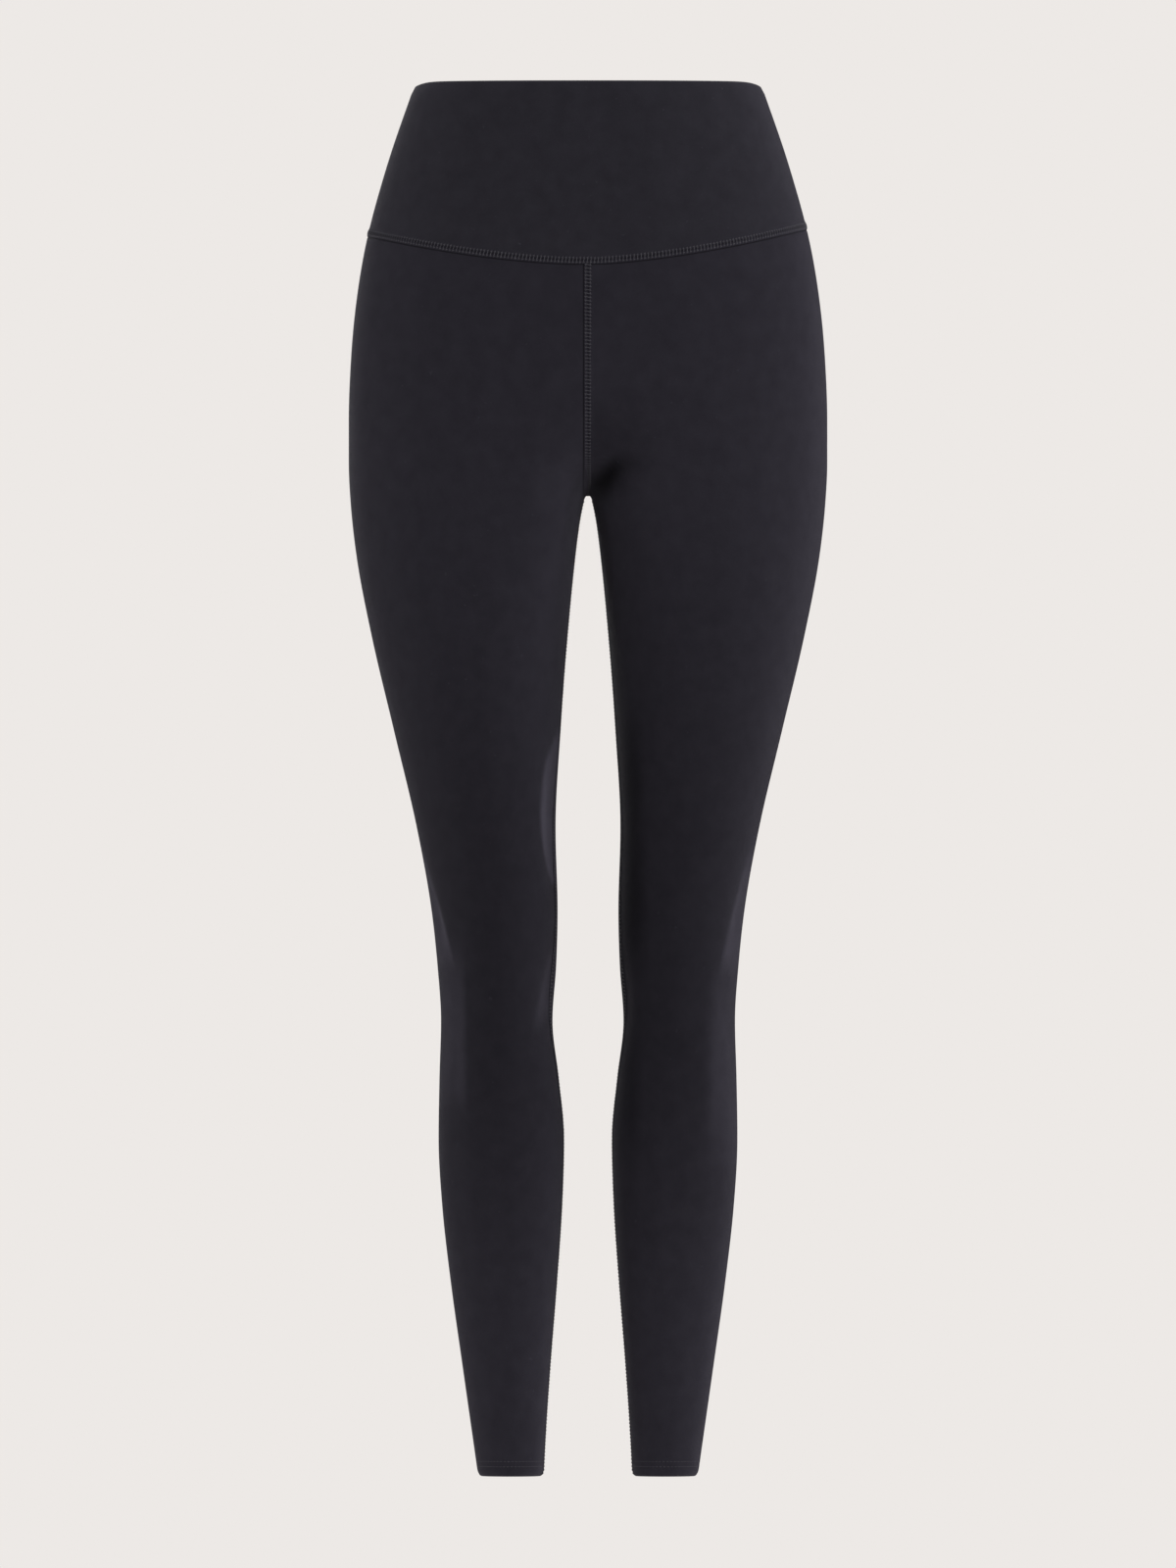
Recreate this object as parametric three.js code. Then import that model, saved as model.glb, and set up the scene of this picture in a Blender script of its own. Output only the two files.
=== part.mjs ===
// High-waisted full-length leggings in the shape they take when worn, hollow, with no wearer.
// Four cut pieces: the front and back of a wide contoured waistband, and one panel for each leg,
// which is closed by an inseam and meets its twin along the centre front and centre back seam.
// +Z is up, the front faces -Y, and the origin is the middle of the waist opening at its top edge.

import * as THREE from "three";

// Driving dimensions, in millimetres. A drop is measured down from the waistband's top edge.
const LENGTH = 1010;
const CROTCH_DROP = 299;
const SEAM_GAP = 0.3;
const LEG_CLOTH = 1.6;
const WAISTBAND_CLOTH = 2.6;
const HEM_CLOTH = 2.4;
const HEM_DEPTH = 12;
const HEM_STEP = 3;
const CROTCH_ROUND = 6;
// A free edge curls in by this depth over this reach. The top edge dips at the sides.
const EDGE_CURL = { depth: 1.6, reach: 5 };
const TOP_EDGE = { dip: 2.4, sharpness: 30 };

// The waistband's lower seam: its drop at the centre front, centre back and sides. It runs a
// little lower on the wearer's right (-X) than on the left, by twice the skew.
const WAIST_SEAM = { front: 130, back: 124, side: 106.5, skew: 2.6, sharpness: 1.6 };
// Just below the waist seam the rows stop following it and become level.
const LEVEL_DROP = 188;

// Mesh density. Columns are counted round one leg. A column within COLUMN_SPARE of a column's
// width from the centre seam is left out of that row. Near the crotch, rows have twice the
// columns on the leg's inner side.
const LEG_COLUMNS = 32;
const COLUMN_SPARE = 0.3;
const CROTCH_DETAIL = { reach: 50, turn: 0.22 };
const SEAM_ROWS = 4;
const LEG_ROW = 28;
const CROTCH_ROWS = 6;
const CROTCH_ROW_STEP = 1.75;
const BAND_ROWS = 7;
const ROLL_ANGLES = [70, 40, 14];

// The worn form of the wearer's left half, one row for each level. outer: widest x. front and
// back: depth of the foremost and rearmost points from y = 0. frontX and backX: where those lie.
// mid: y of the sides. square: exponent of the superellipse, 2 for an ellipse.
const SECTIONS = [
  { drop: 0, outer: 125, front: 88, back: 86, frontX: 12, backX: 20, mid: 0, square: 2.1 },
  { drop: 60, outer: 145.5, front: 97, back: 95, frontX: 20, backX: 34, mid: 0, square: 2.15 },
  { drop: 120, outer: 161.5, front: 103, back: 110, frontX: 29, backX: 50, mid: 1, square: 2.2 },
  { drop: 170, outer: 169.2, front: 105, back: 123.5, frontX: 37, backX: 63, mid: 3, square: 2.25 },
  { drop: 210, outer: 172.3, front: 104, back: 129, frontX: 46, backX: 71, mid: 5, square: 2.25 },
  { drop: 245, outer: 173.4, front: 102, back: 126, frontX: 58, backX: 78, mid: 7, square: 2.25 },
  { drop: 275, outer: 173.4, front: 100, back: 117, frontX: 72, backX: 84, mid: 8, square: 2.2 },
  { drop: 305, outer: 172, front: 98, back: 107, frontX: 83, backX: 88, mid: 7.5, square: 2.15 },
  { drop: 345, outer: 167.5, front: 96, back: 98.5, frontX: 88, backX: 90, mid: 5, square: 2.1 },
  { drop: 400, outer: 157, front: 92.5, back: 89, frontX: 86, backX: 87, mid: 2, square: 2.1 },
  { drop: 470, outer: 140.5, front: 86, back: 77, frontX: 80, backX: 81, mid: -1, square: 2.1 },
  { drop: 540, outer: 124, front: 78, back: 67, frontX: 73, backX: 74, mid: -4, square: 2.0 },
  { drop: 600, outer: 113.3, front: 72, back: 59, frontX: 67, backX: 68, mid: -6, square: 1.88 },
  { drop: 640, outer: 109, front: 67.5, back: 54.5, frontX: 65, backX: 66, mid: -6.5, square: 1.82 },
  { drop: 680, outer: 106.5, front: 61, back: 54.5, frontX: 65, backX: 66, mid: -3, square: 1.88 },
  { drop: 720, outer: 107.6, front: 53.5, back: 61.5, frontX: 66, backX: 66, mid: 4, square: 1.98 },
  { drop: 765, outer: 108.3, front: 46, back: 70, frontX: 64, backX: 63, mid: 11, square: 2.05 },
  { drop: 815, outer: 105.6, front: 38.5, back: 71.5, frontX: 62, backX: 62, mid: 15, square: 2.1 },
  { drop: 870, outer: 99.4, front: 31, back: 65, frontX: 61, backX: 61, mid: 16, square: 2.1 },
  { drop: 930, outer: 91, front: 23.5, back: 57, frontX: 59, backX: 59, mid: 17, square: 2.05 },
  { drop: 975, outer: 84.6, front: 18, back: 52.5, frontX: 58, backX: 58, mid: 18, square: 2.05 },
  { drop: 1010, outer: 79.6, front: 14.5, back: 50, frontX: 56, backX: 56, mid: 18, square: 2.05 },
];

// Inner edge of the lobe round one leg. Above the crotch it lies past the centre plane, which
// cuts the lobe, and the legs part where it passes CROTCH_ROUND. fuller: added to the exponent on
// the leg's inner side, where the thighs press flatter against each other.
const INNER_EDGE = [
  { drop: 0, inner: -300, fuller: 0 },
  { drop: 120, inner: -290, fuller: 0.1 },
  { drop: 170, inner: -205, fuller: 0.4 },
  { drop: 205, inner: -128, fuller: 0.8 },
  { drop: 237, inner: -66, fuller: 1.2 },
  { drop: 265, inner: -23, fuller: 1.5 },
  { drop: 284, inner: -2, fuller: 1.6 },
  { drop: 293, inner: 3.9, fuller: 1.6 },
  { drop: 299, inner: 6, fuller: 1.6 },
  { drop: 302, inner: 6.6, fuller: 1.55 },
  { drop: 307, inner: 7.3, fuller: 1.5 },
  { drop: 319, inner: 8.8, fuller: 1.3 },
  { drop: 338, inner: 10.8, fuller: 0.9 },
  { drop: 354, inner: 12.3, fuller: 0.7 },
  { drop: 400, inner: 16.1, fuller: 0.2 },
  { drop: 470, inner: 20.8, fuller: 0 },
  { drop: 540, inner: 24.2, fuller: 0 },
  { drop: 600, inner: 22.8, fuller: 0 },
  { drop: 640, inner: 23.8, fuller: 0 },
  { drop: 680, inner: 26.4, fuller: 0 },
  { drop: 720, inner: 22.2, fuller: 0 },
  { drop: 765, inner: 18.6, fuller: 0 },
  { drop: 815, inner: 20, fuller: 0 },
  { drop: 870, inner: 23.6, fuller: 0 },
  { drop: 930, inner: 28.2, fuller: 0 },
  { drop: 975, inner: 31.2, fuller: 0 },
  { drop: 1010, inner: 33, fuller: 0 },
];

// Soft troughs in the cloth of one leg (side 1 is the wearer's left), on its front (ahead) or its
// back: in the groin, beside and behind the knees and under the seat. Each runs from (x0, drop0)
// to (x1, drop1) and fades out at both ends. inner and outer: widths of its flanks towards the
// centre plane and away from it.
const CREASES = [
  { side: 1, ahead: true, x0: 1, drop0: 304, x1: 38, drop1: 262, inner: 12, outer: 12, depth: 3.2 },
  { side: -1, ahead: true, x0: 4, drop0: 303, x1: 42, drop1: 260, inner: 16, outer: 16, depth: 1.3 },
  { side: -1, ahead: true, x0: 127, drop0: 550, x1: 99, drop1: 650, inner: 5, outer: 15, depth: 2.6 },
  { side: -1, ahead: true, x0: 99, drop0: 630, x1: 96, drop1: 800, inner: 7, outer: 13, depth: 1.3 },
  { side: -1, ahead: true, x0: 27, drop0: 468, x1: 26, drop1: 596, inner: 10, outer: 5, depth: 2.3 },
  { side: -1, ahead: true, x0: 24, drop0: 620, x1: 33, drop1: 696, inner: 9, outer: 6, depth: 1.8 },
  { side: 1, ahead: true, x0: 121, drop0: 556, x1: 101, drop1: 652, inner: 6, outer: 13, depth: 2.2 },
  { side: 1, ahead: true, x0: 101, drop0: 634, x1: 97, drop1: 780, inner: 9, outer: 13, depth: 1.3 },
  { side: 1, ahead: true, x0: 23, drop0: 632, x1: 29, drop1: 686, inner: 7, outer: 5, depth: 1.2 },
  { side: 1, ahead: false, x0: 22, drop0: 302, x1: 114, drop1: 312, inner: 13, outer: 13, depth: 2.0 },
  { side: -1, ahead: false, x0: 18, drop0: 306, x1: 104, drop1: 300, inner: 13, outer: 13, depth: 1.6 },
  { side: 1, ahead: false, x0: 40, drop0: 650, x1: 94, drop1: 664, inner: 8, outer: 8, depth: 1.8 },
  { side: 1, ahead: false, x0: 46, drop0: 694, x1: 98, drop1: 678, inner: 9, outer: 9, depth: 1.3 },
  { side: 1, ahead: false, x0: 52, drop0: 624, x1: 90, drop1: 616, inner: 7, outer: 7, depth: 0.9 },
  { side: -1, ahead: false, x0: 42, drop0: 646, x1: 96, drop1: 638, inner: 8, outer: 8, depth: 1.6 },
  { side: -1, ahead: false, x0: 36, drop0: 678, x1: 88, drop1: 694, inner: 8, outer: 8, depth: 1.5 },
  { side: -1, ahead: false, x0: 60, drop0: 720, x1: 98, drop1: 710, inner: 7, outer: 7, depth: 0.8 },
];
// How far a crease's cloth turns away from the front or back before the crease fades out.
const CREASE_FADE = 0.35;

const square = (value) => value * value;
const mix = (a, b, t) => a + (b - a) * t;
const smooth = (t) => {
  const held = Math.min(1, Math.max(0, t));
  return held * held * (3 - 2 * held);
};

// Slope of one column of a table at row i: that of a parabola through its neighbours, held
// back so that the curve between two rows never passes beyond them.
function slopeAt(table, i, key) {
  const [above, below] = [i, i + 1].map((k) => {
    const [low, high] = [table[Math.max(0, k - 1)], table[Math.min(table.length - 1, k)]];
    const span = high.drop - low.drop;
    return { span, slope: span > 0 ? (high[key] - low[key]) / span : 0 };
  });
  if (above.span === 0) return below.slope;
  if (below.span === 0) return above.slope;
  if (above.slope * below.slope <= 0) return 0;
  const free = (above.slope * below.span + below.slope * above.span) / (above.span + below.span);
  const most = 3 * Math.min(Math.abs(above.slope), Math.abs(below.slope));
  return Math.sign(free) * Math.min(Math.abs(free), most);
}

// Every column of a table at a drop, by cubic curves through its rows.
function tableAt(table, drop) {
  const held = Math.min(LENGTH, Math.max(0, drop));
  const next = table.findIndex((row) => row.drop > held);
  const i = next < 0 ? table.length - 2 : next - 1;
  const [low, high] = [table[i], table[i + 1]];
  const span = high.drop - low.drop;
  const t = (held - low.drop) / span;
  const values = {};
  for (const key of Object.keys(low)) {
    const bends = t * square(1 - t) * slopeAt(table, i, key) - t * t * (1 - t) * slopeAt(table, i + 1, key);
    values[key] = mix(low[key], high[key], smooth(t)) + bends * span;
  }
  return values;
}

// The form's measures at a drop, kept once they have been worked out.
const formCache = new Map();
function formAt(drop) {
  if (!formCache.has(drop)) {
    formCache.set(drop, { ...tableAt(SECTIONS, drop), ...tableAt(INNER_EDGE, drop) });
  }
  return formCache.get(drop);
}

// The quarter of the leg's lobe that a direction from its middle points into: its middle, its
// reaches and its exponent.
function quarterOf(form, outwards, ahead) {
  const centreX = ahead ? form.frontX : form.backX;
  const widest = Math.hypot(form.outer, CROTCH_ROUND);
  return {
    centreX,
    reachX: outwards ? widest - centreX : centreX - form.inner,
    reachY: ahead ? form.front + form.mid : form.back - form.mid,
    power: outwards ? form.square : form.square + form.fuller,
  };
}

// The form's point in a direction round one leg, at a drop. A turn of 0 is the leg's inner side,
// 0.25 its front, 0.5 its outer side and 0.75 its back. Past the centre plane x is held at 0.
function formPoint(turn, drop) {
  const form = formAt(drop);
  const across = -Math.cos(2 * Math.PI * turn);
  const along = -Math.sin(2 * Math.PI * turn);
  const { centreX, reachX, reachY, power } = quarterOf(form, across > 0, along < 0);
  const sum = Math.abs(across / reachX) ** power + Math.abs(along / reachY) ** power;
  const reach = sum ** (-1 / power);
  const lobeX = Math.max(CROTCH_ROUND, centreX + reach * across);
  const x = Math.sqrt(square(lobeX) - square(CROTCH_ROUND));
  return new THREE.Vector3(x, form.mid + reach * along, -drop);
}

// Where the section meets the centre plane, in front or behind, and the turn of that point.
function centrePlace(drop, ahead) {
  const form = formAt(drop);
  const { centreX, reachX, reachY, power } = quarterOf(form, false, ahead);
  const across = Math.min(1, (centreX - CROTCH_ROUND) / reachX);
  const along = reachY * (1 - across ** power) ** (1 / power);
  const quarterTurn = Math.atan2(along, centreX - CROTCH_ROUND) / (2 * Math.PI);
  return {
    point: new THREE.Vector3(0, form.mid + (ahead ? -along : along), -drop),
    turn: ahead ? quarterTurn : 1 - quarterTurn,
  };
}

// Zero on the form's outer face, negative inside it, positive outside.
function formField(x, y, drop) {
  const form = formAt(drop);
  const lobeX = Math.hypot(x, CROTCH_ROUND);
  const ahead = y < form.mid;
  const outwards = lobeX > (ahead ? form.frontX : form.backX);
  const { centreX, reachX, reachY, power } = quarterOf(form, outwards, ahead);
  const across = Math.abs(lobeX - centreX) / reachX;
  return across ** power + (Math.abs(y - form.mid) / reachY) ** power - 1;
}

// Outward normal of the form at a point, from the slopes of its field.
function formNormal({ x, y, z }) {
  const step = 0.25;
  return new THREE.Vector3(
    formField(x + step, y, -z) - formField(x - step, y, -z),
    formField(x, y + step, -z) - formField(x, y - step, -z),
    formField(x, y, -z - step) - formField(x, y, -z + step),
  ).normalize();
}

// How deep the creases press the cloth in at a point of one leg's side, with the normal there.
function creaseDepth(point, normal, side) {
  const ahead = point.y < formAt(-point.z).mid;
  const faces = smooth(Math.abs(normal.y) / CREASE_FADE);
  let depth = 0;
  for (const crease of CREASES) {
    if (crease.side !== side || crease.ahead !== ahead) continue;
    const start = new THREE.Vector2(crease.x0, crease.drop0);
    const along = new THREE.Vector2(crease.x1, crease.drop1).sub(start);
    const from = new THREE.Vector2(point.x, -point.z).sub(start);
    const share = Math.min(1, Math.max(0, from.dot(along) / along.lengthSq()));
    const off = from.sub(along.multiplyScalar(share));
    const away = off.length() / (off.x < 0 ? crease.inner : crease.outer);
    depth += faces * crease.depth * Math.exp(-square(away)) * Math.sin(Math.PI * share);
  }
  return depth;
}

// The outer and inner point of the cloth at a place on the wearer's left (side 1) or right (-1).
// edge: distance from the nearest free edge, where the cloth curls in and its faces lie level.
// rolled: how far each face has rolled towards the cloth's middle. shift: sideways gap.
function clothPair({ point, side, cloth, edge, rolled = 0, shift = 0 }) {
  const normal = formNormal(point);
  const pressed = creaseDepth(point, normal, side);
  normal.z *= smooth(edge / EDGE_CURL.reach);
  normal.normalize();
  const curl = EDGE_CURL.depth * square(Math.max(0, 1 - edge / EDGE_CURL.reach));
  const inset = curl + pressed;
  return [inset + rolled, inset + cloth - rolled].map((depth) => {
    const laid = point.clone().addScaledVector(normal, -depth);
    return laid.setX(side * (Math.max(0, laid.x) + shift));
  });
}

// Steps that round off a folded edge: distance from the edge, and how far each face has rolled.
function rolledEdge(cloth) {
  const radius = cloth / 2;
  const first = Math.sin(THREE.MathUtils.degToRad(ROLL_ANGLES[0]));
  return ROLL_ANGLES.map((degrees) => {
    const angle = THREE.MathUtils.degToRad(degrees);
    return { edge: radius * (first - Math.sin(angle)), rolled: radius * (1 - Math.cos(angle)) };
  });
}

// Drop of the waist seam at a signed share of the half width, on the front or the back.
function waistSeamDrop(across, ahead) {
  const { front, back, side, skew, sharpness } = WAIST_SEAM;
  return mix(ahead ? front : back, side, Math.abs(across) ** sharpness) - skew * across;
}

// Places along one row, from the centre front round one side to the centre back, each with its
// point, its turn and its signed share of the half width. dropAt gives the drop at each.
function placesRound(side, dropAt) {
  const [front, back] = [true, false].map((ahead) => ({
    ...centrePlace(dropAt(0, ahead), ahead),
    across: 0,
  }));
  const spare = COLUMN_SPARE / LEG_COLUMNS;
  const reference = WAIST_SEAM.side;
  const detailed = Math.abs(dropAt(0, true) - CROTCH_DROP) < CROTCH_DETAIL.reach;
  const halves = Array.from({ length: 2 * LEG_COLUMNS + 1 }, (_, k) => k / (2 * LEG_COLUMNS));
  const between = halves
    .filter((turn, k) => k % 2 === 0 || (detailed && Math.min(turn, 1 - turn) < CROTCH_DETAIL.turn))
    .filter((turn) => turn > front.turn + spare && turn < back.turn - spare)
    .map((turn) => {
      const across = (side * formPoint(turn, reference).x) / formAt(reference).outer;
      return { turn, across, point: formPoint(turn, dropAt(across, turn < 0.5)) };
    });
  return [front, ...between, back];
}

// Closed wall from rows of places. Each place has a key that grows along its row, and the pair
// of outer and inner points. From row closedFrom on, rows are rings and the wall is a tube.
function wallGeometry(rows, closedFrom, flipped) {
  const positions = [];
  const triangles = [];
  const addPoint = ({ x, y, z }) => positions.push(x, y, z) / 3 - 1;
  const addTriangle = (a, b, c) => triangles.push(...(flipped ? [c, b, a] : [a, b, c]));
  const addEdge = (from, to) => {
    addTriangle(from.out, from.in, to.in);
    addTriangle(from.out, to.in, to.out);
  };
  const walls = rows.map((row, r) => {
    const made = row.map(({ key, pair }) => ({ key, out: addPoint(pair[0]), in: addPoint(pair[1]) }));
    return r < closedFrom ? made : [...made, { ...made[0], key: 1 }];
  });
  for (let r = 0; r + 1 < walls.length; r += 1) {
    const [top, low] = [walls[r], walls[r + 1]];
    let [i, j] = [0, 0];
    while (i + 1 < top.length || j + 1 < low.length) {
      const alongTop = (top[i + 1]?.key ?? Infinity) <= (low[j + 1]?.key ?? Infinity);
      const next = alongTop ? top[i + 1] : low[j + 1];
      addTriangle(top[i].out, low[j].out, next.out);
      addTriangle(top[i].in, next.in, low[j].in);
      if (alongTop) i += 1;
      else j += 1;
    }
    if (r < closedFrom) {
      addEdge(top[0], low[0]);
      addEdge(low.at(-1), top.at(-1));
    }
  }
  const [first, last] = [walls[0], walls.at(-1)];
  for (let c = 0; c + 1 < first.length; c += 1) addEdge(first[c + 1], first[c]);
  for (let c = 0; c + 1 < last.length; c += 1) addEdge(last[c], last[c + 1]);
  const geometry = new THREE.BufferGeometry();
  geometry.setAttribute("position", new THREE.Float32BufferAttribute(positions, 3));
  geometry.setIndex(triangles);
  geometry.computeVertexNormals();
  return geometry;
}

// Level rows of a leg panel: close together round the crotch, where the section closes, evenly
// spaced down the leg, and close again where the hem is turned up and its edge rolls.
function legRows() {
  const gaps = Array.from({ length: CROTCH_ROWS + 1 }, (_, k) => CROTCH_ROW_STEP * square(k));
  const reach = gaps.at(-1);
  const hemTop = LENGTH - HEM_DEPTH;
  const start = CROTCH_DROP + reach;
  const count = Math.round((hemTop - start) / LEG_ROW);
  const open = [LEVEL_DROP, mix(LEVEL_DROP, CROTCH_DROP - reach, 0.5)];
  open.push(...gaps.slice(1).map((gap) => CROTCH_DROP - gap).reverse());
  const closed = gaps.map((gap) => CROTCH_DROP + gap);
  for (let k = 1; k < count; k += 1) closed.push(mix(start, hemTop, k / count));
  closed.push(hemTop - HEM_STEP, hemTop, LENGTH - EDGE_CURL.reach, LENGTH - EDGE_CURL.reach / 2);
  return { open, closed };
}

function legPanel(side) {
  const row = (places, cloth, rolled, edgeOf) =>
    places.map(({ turn, point }) => {
      const edge = edgeOf(point);
      return { key: turn, pair: clothPair({ point, side, cloth, edge, rolled, shift: SEAM_GAP / 2 }) };
    });
  const fromHem = (point) => LENGTH + point.z;
  const level = (drop) => placesRound(side, () => drop);
  const ring = (drop) => level(drop).slice(1, -1);
  const rows = [];
  for (let r = 0; r < SEAM_ROWS; r += 1) {
    const dropAt = (across, ahead) =>
      mix(waistSeamDrop(across, ahead) + SEAM_GAP / 2, LEVEL_DROP, r / SEAM_ROWS);
    rows.push(row(placesRound(side, dropAt), LEG_CLOTH, 0, fromHem));
  }
  const { open, closed } = legRows();
  for (const drop of open) rows.push(row(level(drop), LEG_CLOTH, 0, fromHem));
  const closedFrom = rows.length;
  for (const drop of closed) {
    const cloth = drop < LENGTH - HEM_DEPTH ? LEG_CLOTH : HEM_CLOTH;
    rows.push(row(ring(drop), cloth, 0, fromHem));
  }
  for (const { edge, rolled } of rolledEdge(HEM_CLOTH).reverse()) {
    rows.push(row(ring(LENGTH - edge), HEM_CLOTH, rolled, () => edge));
  }
  return wallGeometry(rows, closedFrom, side < 0);
}

// The front (ahead) or back of the waistband, from side seam to side seam.
function waistbandPanel(ahead) {
  const topDrop = (across) => TOP_EDGE.dip * Math.abs(across) ** TOP_EDGE.sharpness;
  const sideTurn = SEAM_GAP / 2 / (2 * Math.PI * formAt(0).outer);
  const half = (side, dropAt) => {
    const places = placesRound(side, (across) => dropAt(across));
    const kept = places.filter(({ turn }) => (ahead ? turn < 0.5 : turn > 0.5));
    const turn = ahead ? 0.5 - sideTurn : 0.5 + sideTurn;
    kept.push({ turn, across: side, point: formPoint(turn, dropAt(side)) });
    kept.sort((a, b) => Math.abs(a.turn - 0.5) - Math.abs(b.turn - 0.5));
    return kept.map((place) => ({ ...place, side, key: side * Math.abs(Math.abs(place.turn - 0.5) - 1) }));
  };
  const row = (dropAt, rolled) => {
    const left = half(1, dropAt);
    const centre = left.pop();
    const right = half(-1, dropAt).slice(0, -1);
    return [...right, { ...centre, key: 0 }, ...left.reverse()].map((place) => {
      const edge = -place.point.z - topDrop(place.across);
      return { key: place.key, pair: clothPair({ ...place, cloth: WAISTBAND_CLOTH, edge, rolled }) };
    });
  };
  const roll = rolledEdge(WAISTBAND_CLOTH);
  const rows = roll.map(({ edge, rolled }) => row((across) => topDrop(across) + edge, rolled));
  const firstEdge = EDGE_CURL.reach / 2;
  for (let r = 0; r <= BAND_ROWS; r += 1) {
    const dropAt = (across) =>
      mix(topDrop(across) + firstEdge, waistSeamDrop(across, ahead) - SEAM_GAP / 2, r / BAND_ROWS);
    rows.push(row(dropAt, 0));
  }
  return wallGeometry(rows, Infinity, !ahead);
}

const jersey = { color: 0x29282d, roughness: 0.86, metalness: 0 };
const pieces = [
  { name: "waistband_front", geometry: waistbandPanel(true) },
  { name: "waistband_back", geometry: waistbandPanel(false) },
  { name: "leg_left", geometry: legPanel(1) },
  { name: "leg_right", geometry: legPanel(-1) },
];

const leggings = new THREE.Group();
leggings.name = "leggings";
for (const { name, geometry } of pieces) {
  const mesh = new THREE.Mesh(geometry, new THREE.MeshStandardMaterial(jersey));
  mesh.name = name;
  leggings.add(mesh);
}

export default leggings;
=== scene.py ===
"""Looks of the high-waisted leggings: fine cloth shells, flat seams, hems and a plain studio.

Sizes are millimetres unless a name says otherwise, and become metres where a mesh is made.
A drop is measured down from the waistband's top edge. The front faces -Y and +Z is up.
"""

from __future__ import annotations

import logging
import math
from collections.abc import Callable
from dataclasses import dataclass, field
from enum import Enum

import bpy
import numpy as np
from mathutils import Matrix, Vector


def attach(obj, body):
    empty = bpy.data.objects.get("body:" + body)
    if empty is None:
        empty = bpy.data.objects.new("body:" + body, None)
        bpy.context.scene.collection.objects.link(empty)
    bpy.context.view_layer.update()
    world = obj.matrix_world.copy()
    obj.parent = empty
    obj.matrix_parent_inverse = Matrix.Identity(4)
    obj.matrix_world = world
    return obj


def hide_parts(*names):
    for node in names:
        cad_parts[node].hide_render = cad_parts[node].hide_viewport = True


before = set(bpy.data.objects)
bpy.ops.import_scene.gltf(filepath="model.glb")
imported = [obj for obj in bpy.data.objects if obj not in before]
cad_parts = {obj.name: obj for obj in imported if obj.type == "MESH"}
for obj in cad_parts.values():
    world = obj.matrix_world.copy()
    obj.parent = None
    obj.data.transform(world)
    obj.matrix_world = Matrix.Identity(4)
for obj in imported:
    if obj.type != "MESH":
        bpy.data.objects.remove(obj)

logging.basicConfig(level=logging.INFO, format="%(name)s: %(message)s")
log = logging.getLogger("leggings")

Array = np.ndarray
Colour = tuple[float, float, float]
ClothPlace = tuple[float, float]
# The drop of each place in a row, from its signed share of the half width: a leg's row also
# asks whether the place is on the front.
LegDrop = Callable[[Array, Array | bool], Array]
BandDrop = Callable[[Array], Array]

METRES = 0.001
FULL_TURN = 2.0 * math.pi
BODY = "root"
UV_NAME = "cloth"
# The point attribute that carries painted highlights and painted shade into the cloth's colour.
SHADE_NAME = "shade"

LENGTH = 1010.0
CROTCH_DROP = 299.0
CROTCH_ROUND = 6.0
# Stands for the distance from a seam where a place is nowhere near it.
FAR_FROM_SEAM = 99.0

# The worn form of the wearer's left half, one row for each level. outer: widest x. front and
# back: depth of the foremost and rearmost points from y = 0. front_x and back_x: where those
# lie. mid: y of the sides. square: exponent of the superellipse, 2 for an ellipse.
SECTION_COLUMNS = ("drop", "outer", "front", "back", "front_x", "back_x", "mid", "square")
SECTION_ROWS = (
    (0, 125, 88, 86, 12, 20, 0, 2.1),
    (60, 145.5, 97, 95, 20, 34, 0, 2.15),
    (120, 161.5, 103, 110, 29, 50, 1, 2.2),
    (170, 169.2, 105, 123.5, 37, 63, 3, 2.25),
    (210, 172.3, 104, 129, 46, 71, 5, 2.25),
    (245, 173.4, 102, 126, 58, 78, 7, 2.25),
    (275, 173.4, 100, 117, 72, 84, 8, 2.2),
    (305, 172, 98, 107, 83, 88, 7.5, 2.15),
    (345, 167.5, 96, 98.5, 88, 90, 5, 2.1),
    (400, 157, 92.5, 89, 86, 87, 2, 2.1),
    (470, 140.5, 86, 77, 80, 81, -1, 2.1),
    (540, 124, 78, 67, 73, 74, -4, 2.0),
    (600, 113.3, 72, 59, 67, 68, -6, 1.88),
    (640, 109, 67.5, 54.5, 65, 66, -6.5, 1.82),
    (680, 106.5, 61, 54.5, 65, 66, -3, 1.88),
    (720, 107.6, 53.5, 61.5, 66, 66, 4, 1.98),
    (765, 108.3, 46, 70, 64, 63, 11, 2.05),
    (815, 105.6, 38.5, 71.5, 62, 62, 15, 2.1),
    (870, 99.4, 31, 65, 61, 61, 16, 2.1),
    (930, 91, 23.5, 57, 59, 59, 17, 2.05),
    (975, 84.6, 18, 52.5, 58, 58, 18, 2.05),
    (1010, 79.6, 14.5, 50, 56, 56, 18, 2.05),
)

# Inner edge of the lobe round one leg. Above the crotch it lies past the centre plane, which
# cuts the lobe, and the legs part where it passes CROTCH_ROUND. fuller: added to the exponent on
# the leg's inner side, where the thighs press flatter against each other.
INNER_COLUMNS = ("drop", "inner", "fuller")
INNER_ROWS = (
    (0, -300, 0),
    (120, -290, 0.1),
    (170, -205, 0.4),
    (205, -128, 0.8),
    (237, -66, 1.2),
    (265, -23, 1.5),
    (284, -2, 1.6),
    (293, 3.9, 1.6),
    (299, 6, 1.6),
    (302, 6.6, 1.55),
    (307, 7.3, 1.5),
    (319, 8.8, 1.3),
    (338, 10.8, 0.9),
    (354, 12.3, 0.7),
    (400, 16.1, 0.2),
    (470, 20.8, 0),
    (540, 24.2, 0),
    (600, 22.8, 0),
    (640, 23.8, 0),
    (680, 26.4, 0),
    (720, 22.2, 0),
    (765, 18.6, 0),
    (815, 20, 0),
    (870, 23.6, 0),
    (930, 28.2, 0),
    (975, 31.2, 0),
    (1010, 33, 0),
)


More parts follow.
